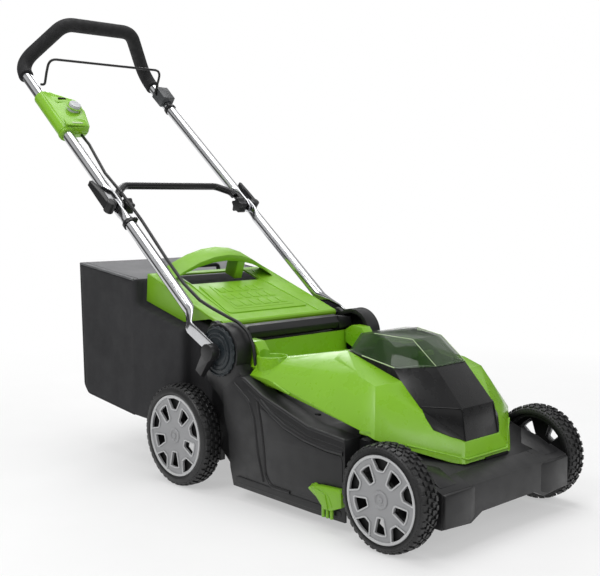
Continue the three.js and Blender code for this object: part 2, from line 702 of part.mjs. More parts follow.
// Bolt through the mid joint, from the star nut to the cam lever.
function midBolt() {
  return cylinderY(4, 158, 191.3, MID_JOINT.x, MID_JOINT.z, 10);
}

// Quick-release lever: a round cam on a pin across the tube, and a paddle along it.
const CAM = { y: 202.6, radius: 11, half: 13 };
function camLever() {
  const cam = tube([onTube(MID_ALONG, CAM.y, -CAM.half), onTube(MID_ALONG, CAM.y, CAM.half)],
    CAM.radius, { sides: 12 });
  const blade = hull([
    onTube(MID_ALONG - 4, 204, -11), onTube(MID_ALONG - 4, 204, 11),
    onTube(MID_ALONG - 4, 213, -10), onTube(MID_ALONG - 4, 213, 10),
    onTube(MID_ALONG + 40, 203, -11), onTube(MID_ALONG + 40, 203, 11),
    onTube(MID_ALONG + 40, 214, -9), onTube(MID_ALONG + 40, 214, 9),
    onTube(MID_ALONG + 80, 209, -7), onTube(MID_ALONG + 80, 209, 7),
    onTube(MID_ALONG + 80, 216, -6), onTube(MID_ALONG + 80, 216, 6),
  ]);
  return join(cam, blade);
}

function starNut() {
  const lobes = 5;
  const outline = Array.from({ length: lobes * 4 }, (_, i) => {
    const reach = [18, 18, 13, 13][i % 4];
    const angle = (2 * Math.PI * (i + [0, -0.3, 0, -0.3][i % 4])) / (lobes * 4);
    return [MID_JOINT.x + reach * Math.cos(angle), MID_JOINT.z + reach * Math.sin(angle)];
  });
  return cut(sidePlate(outline, 150, 169.2), cylinderY(4.4, 156, 200, MID_JOINT.x, MID_JOINT.z, 10));
}

function pivotKnob() {
  const { x, z } = SHOULDER;
  const cap = cylinderY(17, 213.8, 232, x, z, 16);
  const paddle = hull([
    [x - 12, 216, z + 10], [x + 12, 216, z - 8], [x - 10, 230, z + 8], [x + 10, 230, z - 6],
    [x - 46, 218, z - 40], [x - 26, 218, z - 52], [x - 42, 226, z - 38], [x - 26, 226, z - 48],
  ]);
  return cut(join(cap, paddle), cylinderY(5.4, 200, 226, x, z, 12));
}

// Switch box on the right tube: a base under the tube and a lid that carries the button.
const BOX_ALONG = (HANDLE_REF.x + 727) / Math.cos(HANDLE_SLOPE);
const SPLIT = 4;
const onBox = (along, y, off) => onTube(BOX_ALONG + along, y, off);

function boxBlock(low, high) {
  return hull([
    onBox(4, -200, low), onBox(4, -200, high * 0.6), onBox(4, -128, low * 0.6), onBox(4, -128, high * 0.8),
    onBox(100, -120, low * 0.5), onBox(60, -118, high), onBox(100, -122, high), onBox(100, -200, high * 0.6),
    onBox(152, -200, low), onBox(152, -200, high * 0.6), onBox(152, -168, low), onBox(152, -170, high * 0.6),
  ]);
}

function switchBox() {
  const whole = boxBlock(-19, 30);
  const above = hull([-300, 300].flatMap((along) => [-260, -60].flatMap((y) => [
    onBox(along, y, SPLIT), onBox(along, y, 200),
  ])));
  const tubeRun = tube([onBox(-60, -HANDLE_Y, 0), onBox(260, -HANDLE_Y, 0)], TUBE_RADIUS + 0.9, { sides: 12 });
  const cableHole = tube([onBox(-20, -145, -1), onBox(14, -145, -1)], 4, { sides: 8 });
  return cut(whole, above, tubeRun, cableHole);
}

const BUTTON = { along: 68, y: -146, radius: 14 };

function switchLid() {
  const whole = boxBlock(-19, 30);
  const below = hull([-300, 300].flatMap((along) => [-260, -60].flatMap((y) => [
    onBox(along, y, SPLIT + GAP), onBox(along, y, -200),
  ])));
  const collar = tube([onBox(BUTTON.along, BUTTON.y, 20), onBox(BUTTON.along, BUTTON.y, 34)],
    BUTTON.radius + 5, { sides: 14 });
  const well = tube([onBox(BUTTON.along, BUTTON.y, 14), onBox(BUTTON.along, BUTTON.y, 60)],
    BUTTON.radius + 0.8, { sides: 14 });
  const tubeRun = tube([onBox(-60, -HANDLE_Y, 0), onBox(260, -HANDLE_Y, 0)], TUBE_RADIUS + 0.9, { sides: 12 });
  return cut(join(cut(whole, below), collar), well, tubeRun);
}

function startButton() {
  return tube([onBox(BUTTON.along, BUTTON.y, 20), onBox(BUTTON.along, BUTTON.y, 40)],
    BUTTON.radius, { sides: 16 });
}

const BAIL = { x: -866, z: 840, rodRadius: 3 };

function bailBracket() {
  const ref = { x: BAIL.x, z: BAIL.z };
  const block = hull([164, 199].flatMap((y) => [
    onHandle(ref, -34, y, -16), onHandle(ref, -34, y, 14), onHandle(ref, 12, y, -16), onHandle(ref, 12, y, 16),
  ]));
  const tubeRun = tube([onTube(500, HANDLE_Y, 0), onTube(820, HANDLE_Y, 0)], TUBE_RADIUS + 0.9, { sides: 12 });
  const pivotHole = cylinderY(BAIL.rodRadius + 1, 150, 171, BAIL.x, BAIL.z, 8);
  return cut(block, tubeRun, pivotHole);
}

// Bail: thin rod that swings back to the grip and holds the switch on.
function bailBar() {
  const half = [
    [BAIL.x, 170.4, BAIL.z], [BAIL.x, 160, BAIL.z], [-855, 161, 866], [-840, 161, 898],
  ];
  const other = half.map(([x, y, z]) => [x, -y, z]).reverse();
  return tube([...half, ...other], BAIL.rodRadius, { bend: 9, bendSteps: 2, sides: 8 });
}

// A plastic ring on the tube with a lug on its inner side.
function cableClip(along, side) {
  const ring = (from, to, radius) => tube(
    [onTube(from, HANDLE_Y, 0), onTube(to, HANDLE_Y, 0)], radius, { sides: 12 });
  const lug = hull([along + 0.6, along + 7.3].flatMap((place) => [
    onTube(place, 170, 6), onTube(place, 170, 15), onTube(place, 178, 8), onTube(place, 178, 16),
  ]));
  return mirrorY(cut(
    join(ring(along, along + 8, TUBE_RADIUS + 3), lug),
    ring(along - 10, along + 20, TUBE_RADIUS + 0.9),
  ), side);
}

// ---------------------------------------------------------------- power cable

const CABLE_RADIUS = 3.4;
const cableRun = (corners) => tube(corners, CABLE_RADIUS, { bend: 40, bendSteps: 3, sides: 8 });
const CABLE_MID = [MID_ALONG + 8, -181, 30];
const CABLE_LOW = [-262, -174, 366];

const cableUpper = () => cableRun([
  onBox(3.4, -145, -1), onBox(-40, -150, 6), onTube(MID_ALONG + 90, -177, 20), onTube(...CABLE_MID),
]);

const cableLower = () => cableRun([
  onTube(CABLE_MID[0] - 1.2, CABLE_MID[1], CABLE_MID[2]), onTube(MID_ALONG - 70, -168, 19),
  onTube(140, -171, 16), onTube(60, -172.5, 17), CABLE_LOW,
]);

const cableDeck = () => cableRun([
  [-260.4, -174, 365.2], [-225, -173.5, 353], [-186, -173.5, 350], [-172, -173.5, 333],
]);

// ---------------------------------------------------------------- rear flap and bag

const FLAP_ANGLE = Math.atan2(86, 239);
const FLAP_LENGTH = 252;
const FLAP_HALF = 164.4;

function onFlap(along, y, off) {
  return [
    HINGE.x - along * Math.cos(FLAP_ANGLE) + off * Math.sin(FLAP_ANGLE), y,
    HINGE.z + along * Math.sin(FLAP_ANGLE) + off * Math.cos(FLAP_ANGLE),
  ];
}

function flapPlate(fromAlong, toAlong, half, low, high) {
  return hull([fromAlong, toAlong].flatMap((along) => [-half, half].flatMap((y) => [
    onFlap(along, y, low), onFlap(along, y, high),
  ])));
}

function rearFlap() {
  const plate = flapPlate(4, FLAP_LENGTH, FLAP_HALF, 0, 4);
  const skirts = SIDES.map(([, side]) => hull([FLAP_HALF - 4, FLAP_HALF].flatMap((y) => [
    onFlap(22, side * y, 3), onFlap(FLAP_LENGTH, side * y, 3),
    [-456, side * y, 350], [-326, side * y, 316],
  ])));
  const rise = 60;
  const span = 150;
  const steps = 8;
  const arcPoint = (i, lift) => {
    const t = -1 + (2 * i) / steps;
    return [t * span, lift * (1 - t * t)];
  };
  const archOuter = Array.from({ length: steps + 1 }, (_, i) => arcPoint(i, rise));
  const archInner = Array.from({ length: steps + 1 }, (_, i) => arcPoint(steps - i, rise - 14));
  const segments = Array.from({ length: steps }, (_, i) => {
    const a = archOuter[i];
    const b = archOuter[i + 1];
    const c = archInner[steps - i - 1];
    const d = archInner[steps - i];
    return hull([a, b, c, d].flatMap(([y, off]) => [
      onFlap(198, y, Math.max(off, 0) + 2), onFlap(FLAP_LENGTH - 6, y, Math.max(off, 0) + 2),
    ]));
  });
  const handOpening = flapPlate(184, FLAP_LENGTH - 12, 96, -5, 7);
  const knuckle = cylinderY(8, -158, 158, HINGE.x, HINGE.z, 12);
  const bore = cylinderY(HINGE.radius + 0.4, -170, 170, HINGE.x, HINGE.z, 12);
  return cut(join(cut(plate, handOpening), ...skirts, ...segments, knuckle), bore);
}

function hingeRod() {
  return cylinderY(HINGE.radius, -178, 178, HINGE.x, HINGE.z, 12);
}

// The bag: a narrow upper neck under the flap, a wider lower neck and the full body,
// all open into one another and open at the front.
function grassBag() {
  const neck = (half, inset) => bothSides([
    [-243 - inset, half, 118 + inset], [-296, half, 92 + inset], [-480, half, 104 + inset],
    [-480, half, 394 - inset], [-378, half, 364 - inset], [-243 - inset, half, 306 - inset],
  ]);
  const lowerNeck = (half, inset) => bothSides([
    [-300 - inset, half, 90 + inset], [-480, half, 104 + inset],
    [-480, half, 340 - inset], [-300 - inset, half, 304 - inset],
  ]);
  const body = (half, inset) => bothSides([
    [-463 - inset, half - 6, 102 + inset], [-463 - inset, half - 6, 395 - inset],
    [-470 - inset, half, 397 - inset], [-470 - inset, half, 103 + inset],
    [-656 + inset, half, 125 + inset], [-673 + inset, half, 142 + inset],
    [-681 + inset, half, 424 - inset],
  ]);
  const outer = join(
    hull(neck(BAG_NECK_HALF, 0)), hull(lowerNeck(BAG_LOW_HALF, 0)), hull(body(BAG_HALF, 0)));
  const mouth = bothSides([[-200, BAG_NECK_HALF - CLOTH, 130], [-200, BAG_NECK_HALF - CLOTH, 292]]);
  return cut(outer,
    hull([...neck(BAG_NECK_HALF - CLOTH, CLOTH), ...mouth]),
    hull(lowerNeck(BAG_LOW_HALF - CLOTH, CLOTH)),
    hull(body(BAG_HALF - CLOTH, CLOTH)));
}

// Stiff handle on the bag's top, reached through the flap's arch.
function bagHandle() {
  const x = -490;
  return tube([
    [x, -60, 402], [x, -60, 416], [x, 60, 416], [x, 60, 402],
  ], 5, { bend: 12, bendSteps: 2, sides: 8 });
}

// ---------------------------------------------------------------- assembly

function buildMower() {
  const mower = new THREE.Group();
  const put = (name, shape, look) => addPiece(mower, name, shape, look);

  const deck = deckPieces();
  put('deck_shell', deck.middle, LOOKS.black);
  put('deck_nose', deck.nose, LOOKS.black);
  put('deck_flank_right', deck.right, LOOKS.black);
  put('deck_flank_left', deck.left, LOOKS.black);
  put('motor_cover', motorCover(), LOOKS.green);
  put('front_shroud', frontShroud(), LOOKS.black);
  put('battery', batteryPack(), LOOKS.grey);
  put('battery_release', releaseButton(), LOOKS.green);
  put('battery_cover', batteryCover(), LOOKS.smoke);
  put('carry_bar', carryBar(), LOOKS.black);
  put('motor_housing', motorHousing(), LOOKS.steel);
  put('flap_hinge_rod', hingeRod(), LOOKS.steel);
  put('rear_flap', rearFlap(), LOOKS.green);
  put('grass_bag', grassBag(), LOOKS.fabric);
  put('bag_handle', bagHandle(), LOOKS.black);

  put('motor_shaft', motorShaft(), LOOKS.steel);
  put('blade', bladeBar(), LOOKS.steel);
  put('blade_bolt', bladeBolt(), LOOKS.steel);

  put('rear_axle', crankAxle(REAR_WHEEL), LOOKS.steel);
  put('front_axle', crankAxle(FRONT_WHEEL), LOOKS.steel);
  put('height_lever', heightLever(), LOOKS.black);

  put('upper_tube', upperTube(), LOOKS.chrome);
  put('foam_grip', foamGrip(), LOOKS.grip);
  put('crossbar', crossbar(), LOOKS.black);
  put('switch_box', switchBox(), LOOKS.green);
  put('switch_lid', switchLid(), LOOKS.green);
  put('start_button', startButton(), LOOKS.silver);
  put('bail_bracket', bailBracket(), LOOKS.grey);
  put('bail_bar', bailBar(), LOOKS.black);
  put('cable_clip_right', cableClip(MID_ALONG - 62, -1), LOOKS.black);
  put('cable_clip_left', cableClip(MID_ALONG + 388, 1), LOOKS.black);
  put('power_cable_upper', cableUpper(), LOOKS.black);
  put('power_cable_lower', cableLower(), LOOKS.black);
  put('power_cable_deck', cableDeck(), LOOKS.black);

  for (const [label, side] of SIDES) {
    put(`pivot_plate_${label}`, mirrorY(pivotPlate(), side), LOOKS.black);
    put(`grass_comb_${label}`, mirrorY(grassComb(), side), LOOKS.green);
    put(`lower_tube_${label}`, mirrorY(lowerTube(), side), LOOKS.chrome);
    put(`mid_bolt_${label}`, mirrorY(midBolt(), side), LOOKS.steel);
    put(`cam_lever_${label}`, mirrorY(camLever(), side), LOOKS.black);
    put(`star_nut_${label}`, mirrorY(starNut(), side), LOOKS.black);
    put(`pivot_knob_${label}`, mirrorY(pivotKnob(), side), LOOKS.black);
    addWheel(mower, `front_${label}`, FRONT_WHEEL, side);
    addWheel(mower, `rear_${label}`, REAR_WHEEL, side);
  }
  return mower;
}

const mower = buildMower();
const bounds = new THREE.Box3().setFromObject(mower);
mower.position.x = -(bounds.min.x + bounds.max.x) / 2;

export default mower;
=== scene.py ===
"""Blender looks for the push lawn mower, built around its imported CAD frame."""

import json
import math

import bmesh
import bpy
from mathutils import Matrix, Vector


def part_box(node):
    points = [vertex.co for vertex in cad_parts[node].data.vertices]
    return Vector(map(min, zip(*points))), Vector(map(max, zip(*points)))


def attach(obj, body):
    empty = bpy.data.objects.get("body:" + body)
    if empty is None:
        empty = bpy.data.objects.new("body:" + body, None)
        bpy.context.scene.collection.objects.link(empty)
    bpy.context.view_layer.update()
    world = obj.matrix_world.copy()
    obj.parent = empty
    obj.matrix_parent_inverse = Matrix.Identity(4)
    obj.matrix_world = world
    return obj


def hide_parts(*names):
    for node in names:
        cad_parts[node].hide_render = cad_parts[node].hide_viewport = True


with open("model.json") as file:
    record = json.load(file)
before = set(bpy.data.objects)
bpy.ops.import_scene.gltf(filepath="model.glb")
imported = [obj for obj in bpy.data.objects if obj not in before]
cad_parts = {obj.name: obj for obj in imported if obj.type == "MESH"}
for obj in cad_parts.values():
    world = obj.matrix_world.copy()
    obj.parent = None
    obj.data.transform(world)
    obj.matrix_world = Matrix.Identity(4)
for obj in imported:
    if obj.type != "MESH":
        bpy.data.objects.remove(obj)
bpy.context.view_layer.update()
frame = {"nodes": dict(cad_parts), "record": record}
NODES = frame["nodes"]

SIDES = (("right", -1), ("left", 1))
WHEELS = (("front", 0.270, 0.0884, 0.0728), ("rear", -0.270, 0.1009, 0.0808))
# Places go through at() in millimetres. Radii passed to sweep and lathe are in metres.
MM = 0.001


def centre(node):
    low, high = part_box(node)
    return [(a + b) / 2 for a, b in zip(low, high)]


# The CAD is laid out about the middle of the wheelbase, and the row about its box.
SHIFT = centre("tyre_front_right")[0] - WHEELS[0][1]


def both(build):
    """Builds something on the right side and then on the left."""
    for label, side in SIDES:
        build(label, side)


def at(x, y, z):
    """A point in millimetres from the middle of the wheelbase, as the row's metres."""
    return Vector((x * MM + SHIFT, y * MM, z * MM))


# ---- materials ----

YARNS = 160


def fill(node, **values):
    """Sets a node's inputs. A name's underscores stand for the spaces of the socket's name."""
    for key, value in values.items():
        node.inputs[key.replace("_", " ")].default_value = value


class Look:
    """A node material that is put together one layer at a time."""

    def __init__(self, name):
        self.mat = bpy.data.materials.new(name)
        self.mat.use_nodes = True
        self.tree = self.mat.node_tree
        self.shader = self.tree.nodes["Principled BSDF"]
        self.coords = self.tree.nodes.new("ShaderNodeTexCoord")
        self.last_bump = None

    def node(self, kind, **values):
        new = self.tree.nodes.new(kind)
        for key, value in values.items():
            setattr(new, key, value)
        return new

    def link(self, a, b):
        self.tree.links.new(a, b)

    def noise(self, scale, detail=3.0, rough=0.55, stretch=(1, 1, 1)):
        mapping = self.node("ShaderNodeMapping")
        fill(mapping, Scale=stretch)
        self.link(self.coords.outputs["Object"], mapping.inputs["Vector"])
        noise = self.node("ShaderNodeTexNoise")
        fill(noise, Scale=scale, Detail=detail, Roughness=rough)
        self.link(mapping.outputs["Vector"], noise.inputs["Vector"])
        return noise.outputs["Fac"]

    def spread(self, fac, low, high, start=0.35, end=0.65):
        ramp = self.node("ShaderNodeMapRange")
        fill(ramp, From_Min=start, From_Max=end, To_Min=low, To_Max=high)
        self.link(fac, ramp.inputs["Value"])
        return ramp.outputs["Result"]

    def colour(self, fac, dark, light):
        ramp = self.node("ShaderNodeValToRGB")
        ramp.color_ramp.elements[0].position = 0.3
        ramp.color_ramp.elements[0].color = (*dark, 1)
        ramp.color_ramp.elements[1].position = 0.7
        ramp.color_ramp.elements[1].color = (*light, 1)
        self.link(fac, ramp.inputs["Fac"])
        self.link(ramp.outputs["Color"], self.shader.inputs["Base Color"])

    def roughness(self, fac, low, high):
        self.link(self.spread(fac, low, high), self.shader.inputs["Roughness"])

    def bump(self, height, strength, distance):
        bump = self.node("ShaderNodeBump")
        fill(bump, Strength=strength, Distance=distance)
        self.link(height, bump.inputs["Height"])
        if self.last_bump:
            self.link(self.last_bump, bump.inputs["Normal"])
        self.last_bump = bump.outputs["Normal"]
        self.link(self.last_bump, self.shader.inputs["Normal"])

    def set(self, **values):
        fill(self.shader, **values)


def shade(colour, factor):
    return tuple(min(1.0, c * factor) for c in colour)


def plastic(name, colour, rough, grain=0.12, coat=0.0, grain_scale=2600, spread=0.16, gloss=0.5):
    """Moulded plastic: fine spark-eroded grain, faint flow marks and uneven polish."""
    look = Look(name)
    cloud = look.noise(9, 4)
    look.colour(cloud, shade(colour, 1 - spread), shade(colour, 1 + spread))
    look.roughness(look.noise(38, 5), rough - 0.06, rough + 0.08)
    look.bump(look.noise(grain_scale, 2), grain, 0.0002)
    look.bump(look.noise(60, 2), 0.06, 0.0006)
    look.set(Coat_Weight=coat, Coat_Roughness=0.12, Specular_IOR_Level=gloss)
    return look.mat


def metal(name, colour, rough, scratch=0.15, stretch=(1, 1, 14)):
    look = Look(name)
    look.colour(look.noise(14, 4), shade(colour, 0.9), shade(colour, 1.08))
    streak = look.noise(420, 3, 0.6, stretch)
    look.roughness(streak, rough, rough + 0.12)
    look.bump(streak, scratch, 0.0001)
    look.set(Metallic=1.0)
    return look.mat


def rubber(name, colour, rough, scale=900):
    look = Look(name)
    look.colour(look.noise(30, 5), shade(colour, 0.75), shade(colour, 1.35))
    look.roughness(look.noise(70, 4), rough - 0.08, rough + 0.06)
    look.bump(look.noise(scale, 4), 0.25, 0.0003)
    return look.mat


def foam(name):
    look = Look(name)
    look.colour(look.noise(22, 4), (0.007, 0.007, 0.0075), (0.015, 0.015, 0.016))
    look.roughness(look.noise(90, 4), 0.62, 0.8)
    cells = look.node("ShaderNodeTexVoronoi")
    fill(cells, Scale=900)
    look.link(look.coords.outputs["Object"], cells.inputs["Vector"])
    look.bump(cells.outputs["Distance"], 0.35, 0.0004)
    look.set(Sheen_Weight=0.03, Specular_IOR_Level=0.3)
    return look.mat


def woven(name, dark, light, axes=("X", "Z")):
    """Coarse plain weave: two crossing sets of yarns on the given axes."""
    look = Look(name)
    waves = []
    for axis in axes:
        wave = look.node("ShaderNodeTexWave", bands_direction=axis)
        fill(wave, Scale=YARNS, Distortion=0.6, Detail=1.0, Detail_Scale=6.0)
        look.link(look.coords.outputs["Object"], wave.inputs["Vector"])
        waves.append(wave.outputs["Fac"])
    weave = look.node("ShaderNodeMath", operation="MULTIPLY")
    look.link(waves[0], weave.inputs[0])
    look.link(waves[1], weave.inputs[1])
    blotch = look.node("ShaderNodeMath", operation="MULTIPLY_ADD")
    look.link(weave.outputs["Value"], blotch.inputs[0])
    blotch.inputs[1].default_value = 0.45
    look.link(look.noise(11, 5), blotch.inputs[2])
    look.colour(blotch.outputs["Value"], dark, light)
    look.roughness(look.noise(40, 3), 0.8, 0.95)
    look.bump(weave.outputs["Value"], 0.25, 0.0003)
    look.bump(look.noise(7, 3), 0.25, 0.006)
    look.set(Sheen_Weight=0.06, Sheen_Roughness=0.5, Specular_IOR_Level=0.25)
    return look.mat


def smoky(name, colour):
    look = Look(name)
    look.colour(look.noise(8, 3), shade(colour, 0.85), shade(colour, 1.15))
    look.roughness(look.noise(50, 3), 0.03, 0.09)
    look.bump(look.noise(18, 2), 0.04, 0.001)
    look.set(Transmission_Weight=0.3, IOR=1.3, Alpha=0.55, Coat_Weight=0.5)
    return look.mat


GREEN = (0.200, 0.450, 0.012)
M = {
    "green": plastic("green_plastic", GREEN, 0.30, grain=0.04, coat=0.2, spread=0.05),
    "green_matt": plastic("green_grained", shade(GREEN, 0.95), 0.42, grain=0.2, spread=0.06),
    "black": plastic("deck_black", (0.014, 0.014, 0.0148), 0.36, grain=0.12, gloss=0.4),
    "shroud": plastic("shroud_black", (0.012, 0.012, 0.0125), 0.26, grain=0.06, gloss=0.3),
    "trim": plastic("trim_black", (0.014, 0.014, 0.015), 0.34, grain=0.12, gloss=0.35),
    "disc": plastic("pivot_disc", (0.018, 0.024, 0.028), 0.3, grain=0.15, gloss=0.4),
    "hub": plastic("hub_black", (0.007, 0.007, 0.0075), 0.5, grain=0.2, gloss=0.3),
    "silver": plastic("hubcap_silver", (0.31, 0.312, 0.32), 0.42, grain=0.25, spread=0.05),
    # A lighter copy of the hubcap's silver for the raised borders and the lip: a painted highlight.
    "silver_highlight": plastic("hubcap_border_painted_highlight", (0.52, 0.525, 0.53), 0.36, grain=0.2, spread=0.05),
    "grey": plastic("bracket_grey", (0.055, 0.058, 0.062), 0.4, grain=0.12),
    "button": plastic("button_silver", (0.50, 0.51, 0.53), 0.3, grain=0.05, spread=0.04),
    "battery": plastic("battery_case", (0.02, 0.024, 0.016), 0.5, grain=0.25),
    "battery_top": plastic("battery_green", shade(GREEN, 0.7), 0.4, grain=0.1),
    # Near-black for the vents and the notch: painted shade standing in for their dark openings.
    "painted_shade": plastic("slot_painted_shade", (0.003, 0.003, 0.0033), 0.5, grain=0.1, gloss=0.2),
    # Pale lines on the clear lid and the switch box: painted highlights where edges catch the light.
    "painted_highlight": plastic("clear_edge_painted_highlight", (0.5, 0.62, 0.36), 0.2, grain=0.03, spread=0.05),
    "smoke": smoky("smoke_cover", (0.022, 0.07, 0.008)),
    "chrome": metal("chrome_tube", (0.60, 0.605, 0.62), 0.10, scratch=0.02, stretch=(0.08, 0.08, 0.08)),
    "steel": metal("zinc_steel", (0.44, 0.45, 0.46), 0.3),
    "blade": metal("blade_steel", (0.16, 0.165, 0.17), 0.42),
    "paint": plastic("black_paint", (0.006, 0.006, 0.0066), 0.28, grain=0.05, gloss=0.4),
    "tyre": rubber("tyre_rubber", (0.011, 0.011, 0.0115), 0.45),
    "cable": rubber("cable_rubber", (0.006, 0.006, 0.0065), 0.42, 1500),
    "foam": foam("grip_foam"),
    "cloth": woven("bag_cloth_dark", (0.020, 0.020, 0.0215), (0.030, 0.030, 0.032)),
    "cloth_top": woven("bag_cloth_top", (0.16, 0.16, 0.166), (0.21, 0.21, 0.218), ("X", "Y")),
    "piping": rubber("bag_piping", (0.10, 0.102, 0.107), 0.5, 1800),
    "seam": rubber("bag_seam", (0.02, 0.02, 0.022), 0.6, 1800),
}

# ---- mesh helpers ----

SMOOTH_ANGLE = math.radians(32)
FLAT_ANGLE = 1.2


def new_object(name, data):
    obj = bpy.data.objects.new(name, data)
    bpy.context.scene.collection.objects.link(obj)
    return obj


def finish_mesh(obj, bevel=0.0, segments=2, angle=28, smooth=SMOOTH_ANGLE):
    """Bevels and smooths a piece and applies the modifiers to its mesh."""
    if bevel:
        mod = obj.modifiers.new("bevel", "BEVEL")
        mod.width = bevel
        mod.segments = segments
        mod.limit_method = "ANGLE"
        mod.angle_limit = math.radians(angle)
        mod.harden_normals = False
        mod.use_clamp_overlap = True
    bpy.context.view_layer.update()
    graph = bpy.context.evaluated_depsgraph_get()
    mesh = bpy.data.meshes.new_from_object(obj.evaluated_get(graph))
    old = obj.data
    obj.modifiers.clear()
    obj.data = mesh
    bpy.data.meshes.remove(old)
    mesh.shade_smooth()
    mesh.set_sharp_from_angle(angle=smooth)
    return obj


def piece(name, verts, faces, body, look, slot, **finish):
    """A piece made from its mesh, which rides a body."""
    mesh = bpy.data.meshes.new(name)
    mesh.from_pydata([tuple(v) for v in verts], [], faces)
    mesh.materials.append(M[look])
    obj = new_object(name, mesh)
    clean(mesh)
    finish_mesh(obj, **finish)
    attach(obj, body)
    return obj


def clean(mesh, dissolve=0.0):
    bm = bmesh.new()
    bm.from_mesh(mesh)
    bmesh.ops.remove_doubles(bm, verts=bm.verts, dist=2e-5)
    if dissolve:
        bmesh.ops.dissolve_limit(
            bm, angle_limit=math.radians(dissolve), verts=bm.verts, edges=bm.edges
        )
    bmesh.ops.recalc_face_normals(bm, faces=bm.faces)
    bm.to_mesh(mesh)
    bm.free()


BODY_OF = {
    node: body for body, nodes in frame["record"]["behaviour"]["bodies"].items() for node in nodes
}


def refined(node, look, bevel):
    """A piece on a CAD node's outline with rounded edges, which stands for the node."""
    mesh = NODES[node].data.copy()
    mesh.materials.clear()
    mesh.materials.append(M[look])
    for poly in mesh.polygons:
        poly.material_index = 0
    obj = new_object(f"fine_{node}", mesh)
    clean(mesh, FLAT_ANGLE)
    finish_mesh(obj, bevel * MM, 2, 24)
    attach(obj, BODY_OF[node])
    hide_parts(node)
    return obj


def path(corners, bend, steps=10):
    """Straight runs joined by round bends, as a list of points."""
    points = [corners[0]]
    for before, here, after in zip(corners, corners[1:], corners[2:]):
        back, on = before - here, after - here
        half = back.angle(on) / 2
        reach = min(bend / math.tan(half), back.length * 0.6, on.length * 0.6)
        start, end = here + back.normalized() * reach, here + on.normalized() * reach
        for i in range(steps + 1):
            t = i / steps
            points.append(start * (1 - t) ** 2 + here * 2 * t * (1 - t) + end * t * t)
    points.append(corners[-1])
    return points


def sections_faces(count, ring, closed=False):
    faces = []
    for i in range(count if closed else count - 1):
        for j in range(ring):
            a, b = i * ring, ((i + 1) % count) * ring
            k = (j + 1) % ring
            faces.append((a + j, a + k, b + k, b + j))
    if not closed:
        faces.append(tuple(reversed(range(ring))))
        faces.append(tuple(range((count - 1) * ring, count * ring)))
    return faces


def sweep(name, points, radius, body, look, slot, sides=24, closed=False):
    """A round bar along points, in metres."""
    verts = []
    count = len(points)
    across = None
    for i, here in enumerate(points):
        if closed:
            before, after = points[i - 1], points[(i + 1) % count]
        else:
            before, after = points[max(i - 1, 0)], points[min(i + 1, count - 1)]
        incoming = (here - before).normalized() if here != before else (after - here).normalized()
        outgoing = (after - here).normalized() if here != after else incoming
        tangent = (incoming + outgoing).normalized()
        if across is None:
            across = Vector((0, 1, 0)) if abs(tangent.y) < 0.9 else Vector((1, 0, 0))
        across = (across - tangent * across.dot(tangent)).normalized()
        other = tangent.cross(across)
        for j in range(sides):
            angle = 2 * math.pi * j / sides
            verts.append(here + across * (radius * math.cos(angle)) + other * (radius * math.sin(angle)))
    return piece(name, verts, sections_faces(count, sides, closed), body, look, slot)


def lathe(name, profile, middle, body, look, slot, segments=96, outward=1):
    """A ring or disc about the Y axis, from a closed profile of (radius, offset) in metres."""
    verts = []
    for i in range(segments):
        angle = 2 * math.pi * (i + 0.5) / segments
        for radius, offset in profile:
            verts.append(middle + Vector((
                radius * math.cos(angle), offset * outward, radius * math.sin(angle))))
    return piece(name, verts, sections_faces(segments, len(profile), closed=True), body, look, slot)


def hull_piece(name, points, body, look, slot, bevel, segments=2):
    """The convex hull of some points in metres, with its edges rounded by a bevel in millimetres."""
    bm = bmesh.new()
    for p in points:
        bm.verts.new(p)
    bmesh.ops.convex_hull(bm, input=bm.verts)
    loose = [v for v in bm.verts if not v.link_faces]
    bmesh.ops.delete(bm, geom=loose, context="VERTS")
    bmesh.ops.dissolve_limit(bm, angle_limit=math.radians(1), verts=bm.verts, edges=bm.edges)
    bmesh.ops.recalc_face_normals(bm, faces=bm.faces)
    verts = [v.co.copy() for v in bm.verts]
    bm.verts.index_update()
    faces = [tuple(v.index for v in f.verts) for f in bm.faces]
    bm.free()
    return piece(name, verts, faces, body, look, slot, bevel=bevel * MM, segments=segments)


# ---- wheels ----


def plate_from_outlines(outlines, thickness, bevel, transform):
    """A flat plate with holes, as verts and faces: the first outline is the rim."""
    curve = bpy.data.curves.new("outline", "CURVE")
    curve.dimensions = "2D"
    curve.fill_mode = "BOTH"
    curve.extrude = thickness / 2 - bevel
    curve.bevel_depth = bevel
    curve.bevel_resolution = 2
    curve.offset = -bevel
    for outline in outlines:
        spline = curve.splines.new("POLY")
        spline.points.add(len(outline) - 1)
        for p, (a, b) in zip(spline.points, outline):
            p.co = (a, b, 0, 1)
        spline.use_cyclic_u = True
    holder = new_object("outline", curve)
    bpy.context.view_layer.update()
    graph = bpy.context.evaluated_depsgraph_get()
    mesh = bpy.data.meshes.new_from_object(holder.evaluated_get(graph))
    verts = [transform(v.co) for v in mesh.vertices]
    faces = [tuple(p.vertices) for p in mesh.polygons]
    bpy.data.objects.remove(holder)
    bpy.data.curves.remove(curve)
    bpy.data.meshes.remove(mesh)
    return verts, faces


def rounded(corners, radius, steps=6):
    """A closed outline in 2D with its corners rounded."""
    out = []
    for i, here in enumerate(corners):
        p = Vector(here)
        back, on = Vector(corners[i - 1]) - p, Vector(corners[(i + 1) % len(corners)]) - p
        reach = min(radius, back.length * 0.45, on.length * 0.45)
        start, end = p + back.normalized() * reach, p + on.normalized() * reach
        for k in range(steps + 1):
            t = k / steps
            q = start * (1 - t) ** 2 + p * 2 * t * (1 - t) + end * t * t
            out.append((q.x, q.y))
    return out


def polar(radius, degrees):
    a = math.radians(degrees)
    return radius * math.cos(a), radius * math.sin(a)


def wheel_window(inner, outer, half_inner, half_outer, middle, radius):
    low = [polar(inner, middle - half_inner), polar(inner, middle + half_inner)]
    high = [polar(outer, middle + half_outer * f) for f in (1, 0.5, 0, -0.5, -1)]
    return rounded(low + high, radius)


